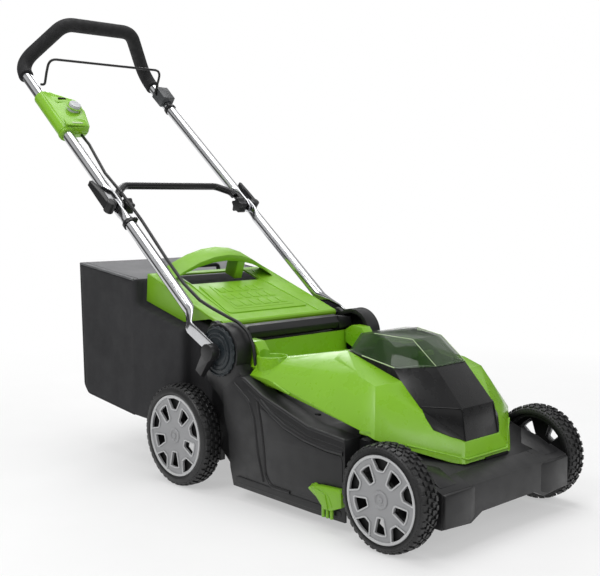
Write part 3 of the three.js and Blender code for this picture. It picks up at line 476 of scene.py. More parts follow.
def grown(outline, amount):
    middle = Vector((sum(p[0] for p in outline), sum(p[1] for p in outline))) / len(outline)
    out = []
    for p in outline:
        away = Vector(p) - middle
        out.append(tuple(middle + away * (1 + amount / away.length)))
    return out


TYRE_Y = 213.5
TYRE_HALF = 0.0225
LUG_DEPTH = 0.0036
TREAD_ROWS = (
    (-TYRE_HALF + 0.0035, -0.0105), (-0.0085, -0.0015), (0.0015, 0.0085), (0.0105, TYRE_HALF - 0.0035),
)
BLOCK_COUNT = {"rear": 46, "front": 40}
BLOCK_TAPER = 0.0006
BLOCK_TURN = 0.004
SHOULDER_DROP = 0.0035 * 0.55
BLOCK_FACES = ((0, 1, 3, 2), (4, 6, 7, 5), (0, 4, 5, 1), (2, 3, 7, 6), (1, 5, 7, 3), (0, 2, 6, 4))
CAP_FACE = 0.236
CAP_THICKNESS = 0.0042
SPOKES = 5


def block_faces(first):
    return [tuple(first + i for i in face) for face in BLOCK_FACES]


def carcass(end, label, middle, base, bead, body):
    """The tyre under its tread: a straight band with round shoulders, open at the bead."""
    half = TYRE_HALF
    side_wall = [
        (bead + 0.0002, half - 0.0025), (bead + 0.001, half - 0.001), (bead + 0.004, half - 0.0004),
        (base - 0.012, half), (base - 0.006, half - 0.0006), (base - 0.002, half - 0.003),
        (base, half - 0.0065),
    ]
    profile = [(r, -y) for r, y in side_wall] + side_wall[::-1]
    tire = lathe(f"tyre_{end}_{label}_body", profile, middle, body, "tyre", "tyre_rubber", 120)
    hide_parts(f"tyre_{end}_{label}")


def tread_block(middle, base, radius, row, start, stop):
    """Eight corners of one block, narrower at its top and lower towards the side wall."""
    low, high = TREAD_ROWS[row]
    edges = ((low, BLOCK_TAPER, row == 0), (high, -BLOCK_TAPER, row == len(TREAD_ROWS) - 1))
    corners = []
    for angle, turn in ((start, BLOCK_TURN), (stop, -BLOCK_TURN)):
        for y, taper, shoulder in edges:
            top = radius - SHOULDER_DROP if shoulder else radius
            for reach, across, a in ((base - 0.003, y, angle), (top, y + taper, angle + turn)):
                corners.append(middle + Vector((reach * math.cos(a), across, reach * math.sin(a))))
    return corners


def tread(end, label, middle, base, radius, body):
    """Staggered rows of blocks, whose length varies a little from one to the next."""
    verts, faces = [], []
    count = BLOCK_COUNT[end]
    for row in range(len(TREAD_ROWS)):
        for i in range(count):
            skew = (i * 7 + row * 3) % 5 * 0.06
            start = 2 * math.pi * (i + 0.5 * (row % 2) + 0.10 + skew * 0.4) / count
            stop = start + 2 * math.pi * (0.60 + skew * 0.3) / count
            faces += block_faces(len(verts))
            verts += tread_block(middle, base, radius, row, start, stop)
    piece(f"tread_{end}_{label}", verts, faces, body, "tyre", "tyre_rubber", bevel=0.0005, segments=1)


def shoulder_lugs(end, label, middle, base, body):
    """Small ribs around the edge of both side walls."""
    rib = (
        (base - 0.010, TYRE_HALF - 0.0009), (base - 0.010, TYRE_HALF - 0.0001),
        (base - 0.0035, TYRE_HALF - 0.0035), (base - 0.0030, TYRE_HALF - 0.0014),
    )
    verts, faces = [], []
    count = BLOCK_COUNT[end] * 2
    for sign in (-1, 1):
        for i in range(count):
            start = 2 * math.pi * (i + 0.2) / count
            stop = start + 2 * math.pi * 0.55 / count
            faces += block_faces(len(verts))
            for angle in (start, stop):
                for reach, y in rib:
                    across = sign * y
                    verts.append(middle + Vector((reach * math.cos(angle), across, reach * math.sin(angle))))
    piece(f"shoulder_lugs_{end}_{label}", verts, faces, body, "tyre", "tyre_rubber")


def tyre(end, x, radius, bead, label, side):
    middle = at(x * 1000, side * TYRE_Y, radius * 1000)
    base = radius - LUG_DEPTH
    body = f"wheel_{end}_{label}"
    carcass(end, label, middle, base, bead, body)
    tread(end, label, middle, base, radius, body)
    shoulder_lugs(end, label, middle, base, body)


def hubcap(end, x, radius, bead, label, side):
    """A pressed cap with two rings of windows, each with a raised border, a lip and a boss; the borders and
    the lip are a lighter silver as a painted highlight.
    """
    body = f"wheel_{end}_{label}"
    rim = bead - 0.0006
    middle = at(x * 1000, 0, radius * 1000)
    cap_level = CAP_FACE - CAP_THICKNESS / 2 - 0.0027

    def place(co):
        return middle + Vector((side * co.x, side * (cap_level + co.z), co.y))

    circle = [polar(rim, 3.0 * i) for i in range(120)]
    turns = [360 // SPOKES * i for i in range(SPOKES)]
    inner = [wheel_window(bead * 0.42, bead * 0.775, 11.5, 12.0, turn + 54, 0.003) for turn in turns]
    outer = [wheel_window(bead * 0.655, bead * 0.925, 7.5, 15.0, turn + 90, 0.003) for turn in turns]
    verts, faces = plate_from_outlines([circle, *inner, *outer], CAP_THICKNESS, 0.0006, place)
    cap = piece(f"hubcap_disc_{end}_{label}", verts, faces, body, "silver", "hubcap_silver")
    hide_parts(f"hubcap_{end}_{label}")
    level = side * (CAP_FACE - 0.0016)
    # The borders are drawn in the lighter silver: a painted highlight on the raised edges.
    for kind, outlines in (("spoke", inner), ("rim", outer)):
        for i, outline in enumerate(outlines):
            points = [middle + Vector((a, level, b)) for a, b in grown(outline, 0.0012)]
            sweep(f"{kind}_border_{end}_{label}_{i}", points, 0.0014, body, "silver_highlight",
                  "hubcap_silver", sides=10, closed=True)
    lip = [
        (rim, 0.2300), (rim, 0.2349), (rim - 0.0012, 0.2358), (rim - 0.0034, 0.2358),
        (rim - 0.0046, 0.2349), (rim - 0.0050, 0.2335),
    ]
    lathe(f"hubcap_lip_{end}_{label}", lip, middle, body, "silver_highlight", "hubcap_silver", 120, side)
    boss = [
        (0.0008, 0.2310), (0.0150, 0.2310), (0.0150, 0.2345), (0.0138, 0.2358), (0.0108, 0.2358),
        (0.0092, 0.2336), (0.0052, 0.2334), (0.0044, 0.2352), (0.0008, 0.2354),
    ]
    lathe(f"hubcap_boss_{end}_{label}", boss, middle, body, "silver", "hubcap_silver", 64, side)


for end, wheel_x, wheel_radius, wheel_bead in WHEELS:
    for label, side in SIDES:
        tyre(end, wheel_x, wheel_radius, wheel_bead, label, side)
        hubcap(end, wheel_x, wheel_radius, wheel_bead, label, side)

# ---- handle ----

SLOPE = math.radians(39.4)
DOWN_TUBE = Vector((-math.cos(SLOPE), 0, math.sin(SLOPE)))
OFF_TUBE = Vector((math.sin(SLOPE), 0, math.cos(SLOPE)))
HANDLE_REF = (-277, 343)
MID_ALONG = (HANDLE_REF[0] + 530) / math.cos(SLOPE)
BOX_ALONG = (HANDLE_REF[0] + 727) / math.cos(SLOPE)
HANDLE_Y = 184


def on_tube(along, y, off):
    base = at(HANDLE_REF[0], y, HANDLE_REF[1])
    return base + DOWN_TUBE * (along * MM) + OFF_TUBE * (off * MM)


def pressed_bar(name, sections, body, look, slot, sides=32):
    """A bar in the handle's plane whose section changes. Each section is a place, its half
    size across the mower and its half size in the plane."""
    verts = []
    last = len(sections) - 1
    for i, (here, across, high) in enumerate(sections):
        run = sections[min(i + 1, last)][0] - sections[max(i - 1, 0)][0]
        run = Vector((run.x, 0, run.z)).normalized()
        up = run.cross(Vector((0, 1, 0)))
        power = 0.5 if across < 4 else 1.0
        for j in range(sides):
            angle = 2 * math.pi * j / sides
            c, s = math.cos(angle), math.sin(angle)
            verts.append(
                here
                + Vector((0, math.copysign(abs(c) ** power, c) * across * MM, 0))
                + up * (math.copysign(abs(s) ** power, s) * high * MM))
    return piece(name, verts, sections_faces(len(sections), sides), body, look, slot)


PIVOT = (-169, 276)
TUBE_BEND = 862
TUBE_RADIUS = 0.0125
CABLE_RADIUS = 0.0034


def tube_sections(rows, side):
    """Sections from rows of (along, across, off, half width, half height)."""
    return [(on_tube(a, side * y, off), wide, high) for a, y, off, wide, high in rows]


def lower_tube(label, side):
    """A tube that is squashed flat at the pivot plate and at the middle bolt."""
    x, z = PIVOT
    foot = [
        (at(x + 11, side * 211, z - 7), 2.3, 6),
        (at(x + 7, side * 211, z - 4.5), 2.3, 11),
        (at(x, side * 211, z), 2.3, 13),
    ]
    run = tube_sections([
        (-60, 211, 2, 2.3, 12.5), (-42, 211, -2, 2.4, 12.5), (-34, 209, -2, 3.0, 12.8),
        (-14, 195, -1, 5.5, 13.4), (2, 185.5, 0, 9.5, 13), (14, HANDLE_Y, 0, 12.5, 12.5),
        (60, HANDLE_Y, 0, 12.5, 12.5), (MID_ALONG - 60, HANDLE_Y, 0, 12.5, 12.5),
        (MID_ALONG - 44, HANDLE_Y, 0, 11.5, 12.6), (MID_ALONG - 32, 185.4, 0, 6.5, 13.2),
        (MID_ALONG - 20, 187.4, 0, 3.3, 13.6), (MID_ALONG, 187.6, 0, 3.3, 13.8),
        (MID_ALONG + 10, 187.6, 0, 3.3, 12.5), (MID_ALONG + 15, 187.6, 0, 3.3, 9.5),
        (MID_ALONG + 18, 187.6, 0, 3.0, 5),
    ], side)
    lower = pressed_bar(f"lower_tube_{label}_bar", foot + run, "lower_handle", "chrome", "chrome_tube")
    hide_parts(f"lower_tube_{label}")


def upper_tube_end(label, side):
    pressed_bar(f"upper_tube_end_{label}", tube_sections([
        (MID_ALONG - 16, 180.4, 0, 3.0, 5), (MID_ALONG - 13, 180.4, 0, 3.2, 9.5),
        (MID_ALONG - 8, 180.4, 0, 3.3, 12.5), (MID_ALONG + 2, 180.4, 0, 3.3, 13.6),
        (MID_ALONG + 36, 180.4, 0, 3.3, 13.6), (MID_ALONG + 46, 182, 0, 6.0, 13.2),
        (MID_ALONG + 54, 183.3, 0, 9.5, 12.8), (MID_ALONG + 60.2, HANDLE_Y, 0, 12.5, 12.5),
    ], side), "upper_handle", "chrome", "chrome_tube")


def mirrored(half):
    """Points on the right side, followed by the same points on the left in reverse."""
    return half + [Vector((p.x, -p.y, p.z)) for p in reversed(half)]


def upper_tube():
    """The chrome loop of the upper handle. Returns its bent path."""
    loop = mirrored([
        on_tube(MID_ALONG + 60, -HANDLE_Y, 0), on_tube(TUBE_BEND, -HANDLE_Y, 0), at(-877, -96, 991)])
    bent = path(loop, 0.052, 16)
    upper = sweep("upper_tube_round", bent, TUBE_RADIUS, "upper_handle", "chrome", "chrome_tube", 32)
    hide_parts("upper_tube")
    return bent


def foam_grip(bent):
    """A foam sleeve that follows the tube around its bends, with a thicker band at each end."""
    start = on_tube(TUBE_BEND - 44, -HANDLE_Y, 0)
    above = [p for p in bent if (p - start).dot(DOWN_TUBE) > 0.004]
    grip = [start, *above, Vector((start.x, -start.y, start.z))]
    sleeve = sweep("foam_sleeve", grip, 0.0171, "upper_handle", "foam", "grip_foam", 32)
    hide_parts("foam_grip")
    for label, side in SIDES:
        ends = [on_tube(along, side * HANDLE_Y, 0) for along in (TUBE_BEND - 44.2, TUBE_BEND - 38)]
        sweep(f"grip_end_{label}", ends, 0.0175, "upper_handle", "foam", "grip_foam", 32)


def crossbar():
    bar = mirrored([on_tube(MID_ALONG + 32, -163, 3), on_tube(MID_ALONG + 44, -160, 5), at(-584, -130, 596)])
    sweep("crossbar_round", path(bar, 0.024), 0.0083, "lower_handle", "paint", "black_steel", 24)
    refined("crossbar", "paint", 0.8)


def bail_bar():
    bail = mirrored([at(-866, -170.4, 840), at(-866, -160, 840), at(-855, -161, 866), at(-840, -161, 898)])
    rod = sweep("bail_rod", path(bail, 0.020, 10), 0.003, "bail", "paint", "black_steel", 14)
    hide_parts("bail_bar")


def power_cable(length, corners, body):
    """One length of the cable, which is held along the handle from the switch box to the deck."""
    cable = sweep(f"cable_{length}_round", path(corners, 0.04), CABLE_RADIUS, body,
                  "cable", "cable_rubber", 14)
    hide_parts(f"power_cable_{length}")


for label, side in SIDES:
    lower_tube(label, side)
    upper_tube_end(label, side)
foam_grip(upper_tube())
crossbar()
bail_bar()
power_cable("lower", [
    on_tube(MID_ALONG + 6.8, -181, 30), on_tube(MID_ALONG - 70, -168, 19),
    on_tube(140, -171, 16), on_tube(60, -172.5, 17), at(-262, -174, 366),
], "lower_handle")
power_cable("upper", [
    on_tube(BOX_ALONG + 3.4, -145, -1), on_tube(BOX_ALONG - 40, -150, 6),
    on_tube(MID_ALONG + 90, -177, 20), on_tube(MID_ALONG + 8, -181, 30),
], "upper_handle")
power_cable("deck", [
    at(-260.4, -174, 365.2), at(-225, -173.5, 353), at(-172, -173.5, 338), at(-146, -172, 331),
    at(-120, -169, 314), at(-107, -168, 286), at(-101, -168, 250), at(-88, -165, 222),
], "deck")

# ---- body work ----

# CAD nodes that get rounded edges, each with its look and its bevel in millimetres.
ROUNDED = (
    ("deck_shell", "black", 1.2), ("deck_nose", "black", 2.2), ("deck_flank_right", "black", 2.2),
    ("deck_flank_left", "black", 2.2), ("motor_cover", "green", 2.4), ("front_shroud", "shroud", 2.2),
    ("battery", "battery", 2.0), ("battery_release", "green", 0.8), ("battery_cover", "smoke", 1.2),
    ("carry_bar", "trim", 5.0), ("rear_flap", "green_matt", 1.6), ("bag_handle", "trim", 1.0),
    ("height_lever", "trim", 1.0), ("start_button", "button", 2.0), ("bail_bracket", "grey", 2.0),
    ("cable_clip_right", "trim", 0.6), ("cable_clip_left", "trim", 0.6), ("blade", "blade", 0.8),
    ("blade_bolt", "steel", 0.6), ("motor_housing", "steel", 1.5), ("rear_axle", "steel", 0.8),
    ("front_axle", "steel", 0.8),
)
ROUNDED_PAIRS = (
    ("pivot_plate", "disc", 0.7), ("grass_comb", "green", 1.0), ("cam_lever", "trim", 2.0),
    ("star_nut", "trim", 1.4), ("pivot_knob", "trim", 1.6), ("mid_bolt", "steel", 0.4),
)
CARRIED_OVER = (
    ("flap_hinge_rod", "steel"), ("motor_shaft", "steel"), ("wheel_hub_front_right", "hub"),
    ("wheel_hub_front_left", "hub"), ("wheel_hub_rear_right", "hub"), ("wheel_hub_rear_left", "hub"),
)

for node, look, bevel in ROUNDED:
    refined(node, look, bevel)
for label, side in SIDES:
    for node, look, bevel in ROUNDED_PAIRS:
        refined(f"{node}_{label}", look, bevel)
for node, look in CARRIED_OVER:
    NODES[node].data.materials.clear()
    NODES[node].data.materials.append(M[look])

# ---- deck details ----

INNER_RIDGE = [(-52, 196), (-44, 160), (-37, 116), (-32, 65), (-19, 46), (33, 45)]
OUTER_RIDGE = [(-118, 222), (-75, 194), (-62, 164), (-53, 100), (-38, 50)]
SWEEP_RIDGE = [(-44, 199), (-17, 181), (20, 162), (70, 148), (124, 140), (164, 139)]
LEDGE_RIDGE = [(-92, 233.5), (-41, 207), (79, 169), (166, 160)]
LEDGE_STEP = [(-78, 214), (-30, 190), (79, 156), (164, 149)]
COVER_BEAD = [(-28, 231), (15, 216.5), (58, 202), (100, 190), (144, 181), (186, 176)]
SHIELD = [
    (-46, 190), (-16, 176), (22, 157), (72, 143), (124, 135), (163, 134), (163, 60), (120, 48),
    (34, 49), (-15, 51), (-27, 68), (-32, 118), (-38, 160),
]
SKIRT = [(-116, 34), (88, 28), (160, 28), (160, 40), (88, 41), (-112, 48)]
COMB_CAP = [(90, 68), (97, 74), (118, 78), (163, 80), (170, 76), (171, 50), (143, 38), (132, 48)]
SHROUD_FACET = [(230, 87, 210), (247, 94, 195), (262, 92, 176), (281, 69, 164), (296, 48, 156.4)]
CUP = (-75.2, 148.6, 270.6)
RIGHT_ONLY = SIDES[:1]


def flank_line(name, points, radius, y, look="black", slot="deck_plastic", sides=SIDES):
    """A raised line on the mower's sides."""
    for label, side in sides:
        run = path([at(x, side * y, z) for x, z in points], 0.02, 6)
        sweep(f"{name}_{label}", run, radius * MM, "deck", look, slot, 12)


def flank_plate(name, outline, y, thickness, bevel):
    """A raised plate on both of the mower's sides."""
    flat = [tuple(at(x, 0, z).xz) for x, z in outline]
    for label, side in SIDES:
        def place(co, side=side):
            return Vector((co.x, side * y * MM + side * co.z, co.y))
        verts, faces = plate_from_outlines([rounded(flat, 0.012, 5)], thickness * MM, bevel * MM, place)
        piece(f"{name}_{label}", verts, faces, "deck", "black", "deck_plastic")


def pivot_ring(name, radius, y, thick, look="disc", slot="black_trim", start=0, turn=360):
    """A raised ring, or part of one, about the handle's pivot."""
    count = 72
    closed = turn == 360
    for label, side in SIDES:
        points = []
        for i in range(count if closed else count + 1):
            a, b = polar(radius, start + turn * i / count)
            points.append(at(PIVOT[0] + a, side * y, PIVOT[1] + b))
        deck_line(f"{name}_{label}", points, thick * MM, look, slot, closed=closed)


def deck_hull(name, points, look, slot, bevel):
    hull_piece(name, [at(*p) for p in points], "deck", look, slot, bevel)


def deck_line(name, points, radius, look, slot, sides=10, closed=False):
    sweep(name, points, radius, "deck", look, slot, sides, closed)


def comb_cap(label, side):
    """The thick end of the grass comb, with the groove pressed into it."""
    deck_hull(f"comb_cap_{label}", [(x, side * y, z) for x, z in COMB_CAP for y in (208.4, 220)],
              "green", "green_plastic", 2.0)
    groove = [at(x, side * 220.0, z) for x, z in ((101, 71), (124, 72), (142, 62), (149, 46))]
    deck_line(f"comb_groove_{label}", path(groove, 0.01, 5), 0.0012, "green", "green_plastic")


def shroud_facet(label, side):
    """A thin flat laid on the shroud's corner, along the face's outward direction."""
    deck_hull(f"shroud_facet_{label}", [
        (x + 0.76 * d, side * (y + 0.3 * d), z + 0.58 * d) for x, y, z in SHROUD_FACET for d in (-1.5, 1.0)
    ], "shroud", "deck_plastic", 0.3)


def cover_details(label, side):
    """Flats on the coloured cover, a notch in near-black as painted shade, the cup's rim and the facet on
    the bumper.
    """
    deck_hull(f"cover_flat_{label}", [
        (184, side * 186, 172), (184, side * 190.5, 174), (184, side * 190.5, 178.5),
        (208, side * 188, 177), (208, side * 184, 170), (206, side * 188.5, 180.5),
    ], "green", "green_plastic", 0.8)
    deck_hull(f"cover_notch_painted_shade_{label}", [
        (x, side * y, z) for x in (80, 91) for y in (186, 191.6) for z in (189.5, 192.5)
    ], "painted_shade", "deck_plastic", 0.5)
    deck_hull(f"cover_facet_{label}", [
        (60, side * 92, 291), (62, side * 92, 280), (132, side * 141, 265.5), (132, side * 141, 255),
        (36, side * 119, 274), (36, side * 119, 262), (72, side * 120, 279),
    ], "green", "green_plastic", 1.2)
    rim = [polar(28, 6 * i) for i in range(60)]
    circle = [at(CUP[0] + a, side * CUP[1] + b, CUP[2]) for a, b in rim]
    deck_line(f"cup_rim_{label}", circle, 0.0019, "green", "green_plastic", closed=True)
    deck_hull(f"bumper_facet_{label}", [
        (262, side * 168, 140), (300, side * 168, 130), (340, side * 128, 108), (340, side * 170, 108),
        (296, side * 118, 124), (262, side * 172, 120), (300, side * 120, 110),
    ], "black", "deck_plastic", 1.5)


def bumper_corner(label, side):
    deck_hull(f"bumper_corner_{label}", [(x, side * y, z) for x, y, z in (
        (330, 180, 106), (330, 180, 44), (330, 80, 106), (330, 80, 56), (356, 178, 101),
        (356, 178, 46), (356, 113, 101), (356, 113, 44), (348, 80, 100), (348, 80, 55),
    )], "black", "deck_plastic", 3.0)


def nose_details():
    """The air slot above the bumper, a near-black block as painted shade, and the bead along the cover's
    front edge.
    """
    deck_hull("nose_air_slot_painted_shade", [(x, y, z) for x in (300, 309.6) for y in (-8, 58) for z in (117.5, 123)],
              "painted_shade", "deck_plastic", 0.6)
    bead = mirrored([at(250, -146, 158), at(300, -66, 131), at(308, -58, 128.5)])
    deck_line("nose_bead", path(bead, 0.012, 6), 0.0019, "green", "green_plastic", 12)


def lid_lines(label, side):
    """The shroud's crease, and pale lines along the clear lid's edges that are painted highlights."""
    crease = [at(234, side * 88.6, 211), at(286.4, side * 44.4, 209), at(295.4, side * 47.2, 156)]
    deck_line(f"shroud_crease_{label}", path(crease, 0.008, 5), 0.0011, "shroud", "deck_plastic")
    edge = [at(98, side * 89.6, 284.4), at(171, side * 86.6, 270.4)]
    sweep(f"lid_edge_highlight_{label}", edge, 0.0009, "battery_cover", "painted_highlight", "smoke_cover", 10)
    ridge = [at(101, side * 61, 322), at(174, side * 40.4, 316), at(227, side * 41.6, 274.5)]
    sweep(f"lid_ridge_highlight_{label}", ridge, 0.0006, "battery_cover", "painted_highlight", "smoke_cover", 8)


flank_line("shield_ridge", INNER_RIDGE, 4.0, 206.2)
# The height lever swings over the outer ridge and the step on the left, so they stay off it.
flank_line("arch_ridge", OUTER_RIDGE, 3.4, 206.4, sides=RIGHT_ONLY)
flank_line("sweep_ridge", SWEEP_RIDGE, 5.5, 205.6)
flank_line("ledge_ridge", LEDGE_RIDGE, 3.6, 205.2)
flank_line("ledge_step", LEDGE_STEP, 1.3, 207.8, sides=RIGHT_ONLY)
flank_plate("shield", SHIELD, 207.6, 3.2, 1.2)
flank_plate("skirt", SKIRT, 207.6, 3.0, 1.2)
pivot_ring("pivot_ring_outer", 44.5, 205.2, 1.6)
pivot_ring("pivot_ring_inner", 35.0, 208.0, 1.3)
pivot_ring("shoulder_lip", 51.2, 199.6, 1.9, "black", "deck_plastic", start=-25, turn=230)
pivot_ring("pivot_ring_small", 28.0, 208.2, 1.6)
for label, side in SIDES:
    comb_cap(label, side)
    shroud_facet(label, side)
flank_line("cover_bead", COVER_BEAD, 2.3, 189.6, "green", "green_plastic")
both(cover_details)
both(bumper_corner)
nose_details()
both(lid_lines)
deck_hull("battery_top", [(x, s * y, z) for s in (-1, 1) for x, y, z in (
    (90, 38, 303), (94, 36, 309.5), (144, 27, 305.5), (150, 27, 299),
)], "battery_top", "battery_plastic", 2)

# ---- rear flap details ----

FLAP_ANGLE = math.atan2(86, 239)
TILE_ROWS = 3
TILE_COLUMNS = 6


def on_flap(along, y, off):
    """A point on the flap, in millimetres along its slope, across it and off its face."""
    return at(-215 - along * math.cos(FLAP_ANGLE) + off * math.sin(FLAP_ANGLE), y,
              319 + along * math.sin(FLAP_ANGLE) + off * math.cos(FLAP_ANGLE))


def flap_plate(name, outline, off, thickness, bevel, radius):
    flat = [(a * MM, y * MM) for a, y in outline]

    def place(co):
        return on_flap(co.x / MM, co.y / MM, off + co.z / MM)

    verts, faces = plate_from_outlines([rounded(flat, radius * MM, 5)], thickness * MM, bevel * MM, place)
    piece(name, verts, faces, "rear_flap", "green_matt", "green_plastic")


def flap_tile(row, column):
    """One blank tile of the panel. The rows get narrower with the flap."""
    low = 58 + row * 35
    wide = 76 - row * 6
    left = -wide + column * wide / 3 + 3
    right = left + wide / 3 - 6
    flap_plate(f"flap_tile_{row}_{column}", [(low, left), (low + 26, left), (low + 26, right), (low, right)],
               6.9, 1.2, 0.4, 4)


def flap_beads(label, side):
    ridge = [on_flap(8, side * 118, 4), on_flap(188, side * 100, 4), on_flap(240, side * 118, 4)]
    sweep(f"flap_ridge_{label}", ridge, 0.0016, "rear_flap", "green_matt", "green_plastic", 12)
    edge = [on_flap(8, side * 162.4, 3.2), on_flap(249, side * 162.4, 3.2)]
    sweep(f"flap_edge_{label}", edge, 0.0018, "rear_flap", "green_matt", "green_plastic", 12)


flap_plate("flap_panel", [(34, -112), (176, -88), (176, 88), (34, 112)], 4.2, 3.6, 1.2, 14)
flap_plate("flap_frame", [(48, -84), (166, -66), (166, 66), (48, 84)], 6.0, 1.2, 0.4, 6)
for row in range(TILE_ROWS):
    for column in range(TILE_COLUMNS):
        flap_tile(row, column)
both(flap_beads)
hull_piece("flap_block", [on_flap(a, y, o) for a in (200, 236) for y in (34, 56) for o in (2, 47)],
           "rear_flap", "green_matt", "green_plastic", 2)

# ---- grass bag ----

BAG_SHOULDER = at(-462, 0, 0).x
BAG_MIDDLE = at(-572, 0, 264)
NECK = [(x, 159, z) for x, z in (
    (-243, 118), (-296, 92), (-480, 104), (-480, 394), (-378, 364), (-243, 306))]
FRONT_HALF = [(-300, 189.4, 90), (-480, 189.4, 104), (-480, 189.4, 344), (-300, 189.4, 304)]
REAR_HALF = [
    (-463, 184, 102), (-463, 184, 395), (-470, 190, 397), (-470, 190, 103), (-656, 190, 125),
    (-673, 190, 142), (-681, 190, 424),
]


def bag_block():
    """The bag's taut outline: three hulls joined into one skin and eased."""
    bm = bmesh.new()
    for group in (NECK, FRONT_HALF, REAR_HALF):
        new = [bm.verts.new(at(x, s * y, z)) for x, y, z in group for s in (-1, 1)]
        bmesh.ops.convex_hull(bm, input=new)
    mesh = bpy.data.meshes.new("bag_cloth")
    bmesh.ops.recalc_face_normals(bm, faces=bm.faces)
    bm.to_mesh(mesh)
    bm.free()
    obj = new_object("bag_cloth", mesh)
    remesh = obj.modifiers.new("remesh", "REMESH")
    remesh.mode = "VOXEL"
    remesh.voxel_size = 0.0058
    ease = obj.modifiers.new("ease", "SMOOTH")
    ease.iterations = 3
    ease.factor = 0.5
    return finish_mesh(obj)


def sag(mesh):
    """Pulls each wide panel of the bag in between its edges, with a slight ripple."""
    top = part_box("grass_bag")[1][2]
    for v in mesh.vertices:
        p = v.co
        local = p - BAG_MIDDLE
        along = max(0.0, 1 - (local.x / 0.105) ** 2)
        height = max(0.0, 1 - (local.z / 0.150) ** 2)
        breadth = max(0.0, 1 - (local.y / 0.185) ** 2)
        ripple = math.sin(p.x * 61 + p.z * 23) * math.sin(p.z * 47 - p.x * 17 + p.y * 9)
        shift = Vector((0, 0, 0))
        if abs(p.y) > 0.17 and p.x < BAG_SHOULDER:
            shift.y -= math.copysign(along * height * (0.0050 + 0.0012 * ripple), p.y)
        if v.normal.z > 0.7 and p.x < BAG_SHOULDER:
            shift.z -= along * breadth * (0.0060 + 0.0012 * ripple)
        if v.normal.x < -0.7:
            shift.x += height * breadth * (0.0055 + 0.0012 * ripple)
        if v.normal.z < -0.7:
            shift.z -= breadth * 0.0010 * (1 + ripple)
        v.co = p + shift
        v.co.z = min(v.co.z, top)


def open_mouth(mesh):
    """Cuts the bag's mouth and gives its top the pale cloth."""
    bm = bmesh.new()
    bm.from_mesh(mesh)
    mouth = []
    for f in bm.faces:
        spot = f.calc_center_median()
        if spot.x > at(-247, 0, 0).x and abs(spot.y) < 0.153 and abs(spot.z - 0.212) < 0.086:
            mouth.append(f)
    bmesh.ops.delete(bm, geom=mouth, context="FACES")
    for f in bm.faces:
        on_top = f.normal.z > 0.6 and f.calc_center_median().x < at(-470, 0, 0).x
        f.material_index = 1 if on_top else 0
    bm.to_mesh(mesh)
    bm.free()


def bag():
    """The bag's cloth: one continuous shell, open at the mouth, that sags between its edges."""
    obj = bag_block()
    mesh = obj.data
    sag(mesh)
    mesh.materials.clear()
    mesh.materials.append(M["cloth"])
    mesh.materials.append(M["cloth_top"])
    open_mouth(mesh)
    thick = obj.modifiers.new("thick", "SOLIDIFY")
    thick.thickness = 0.0022
    thick.offset = -1
    finish_mesh(obj, smooth=math.radians(50))
    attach(obj, "grass_bag")
    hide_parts("grass_bag")


def bag_edges(label, side):
    """Piping along the top edge, a stitched seam beside it and a welt down the back."""
    edge = [at(-470, side * 187.6, 395.6), at(-575, side * 187.8, 409.2), at(-679, side * 187.6, 421.6)]
    sweep(f"bag_piping_{label}", edge, 0.0024, "grass_bag", "piping", "bag_cloth", 12)
    seam = [at(-472, side * 175, 397.0), at(-575, side * 174, 409.0), at(-676, side * 175, 423.0)]
    sweep(f"bag_seam_{label}", seam, 0.0009, "grass_bag", "seam", "bag_cloth", 8)
    back = [at(x, side * 187.4, z) for x, z in ((-679.4, 420), (-671.6, 146), (-656, 128), (-475, 105.4))]
    sweep(f"bag_welt_{label}", path(back, 0.02, 6), 0.0017, "grass_bag", "seam", "bag_cloth", 10)


bag()
both(bag_edges)
sweep("bag_piping_rear", [at(-679, -187, 421.6), at(-680, 0, 420.8), at(-679, 187, 421.6)], 0.0024,
      "grass_bag", "piping", "bag_cloth", 12)
mouth_frame = [at(-245.5, y, z) for y, z in ((-155, 122), (155, 122), (155, 302), (-155, 302))]
sweep("bag_mouth_frame", mouth_frame, 0.0030, "grass_bag", "trim", "black_trim", 12, closed=True)

# ---- switch box details ----

BOX_OUTLINE = [(4, -193), (4, -128), (60, -118), (100, -120), (152, -168), (152, -193)]
BOX_FLOOR = [
    (8, -192, -15), (8, -132, -10), (60, -126, -12), (98, -125, -10), (148, -170, -15), (148, -192, -15),
]
BOX_ROOF = [
    (6, -192, 17), (6, -130, 23), (60, -120, 30), (100, -123, 30), (100, -192, 18), (150, -192, 17),
    (150, -171, 17),
]
BUTTON = (68, -146)
ROUND = [7.5 * i for i in range(48)]


def on_box(along, y, off):
    return on_tube(BOX_ALONG + along, y, off)


def box_half(node, level, edge):
    """Half of the switch box, from the line where the halves meet to its floor or its roof."""
    points = [on_box(a, y, level) for a, y in BOX_OUTLINE] + [on_box(*p) for p in edge]
    half = hull_piece(f"{node}_shell", points, "upper_handle", "green", "green_plastic", 4.0, segments=3)
    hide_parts(node)


def box_ring(name, points, radius, sides, closed=True):
    sweep(name, points, radius, "upper_handle", "green", "green_plastic", sides, closed=closed)


def box_part(name, points, look, bevel):
    hull_piece(name, [on_box(*p) for p in points], "upper_handle", look, "green_plastic", bevel)


def box_collar():
    """The round sleeve of the box about the tube, with rings at its upper end."""
    core = [on_box(a, -HANDLE_Y, 0) for a in (1, 20, 60, 110, 146)]
    box_ring("box_collar", core, 0.0175, 40, closed=False)
    for along, size in ((2.5, 15.2), (4, 17.6), (9, 18.0)):
        circle = [on_box(along, a - HANDLE_Y, b) for a, b in (polar(size, turn) for turn in ROUND)]
        box_ring(f"box_ring_{round(size * 10)}", circle, 0.0011, 8)


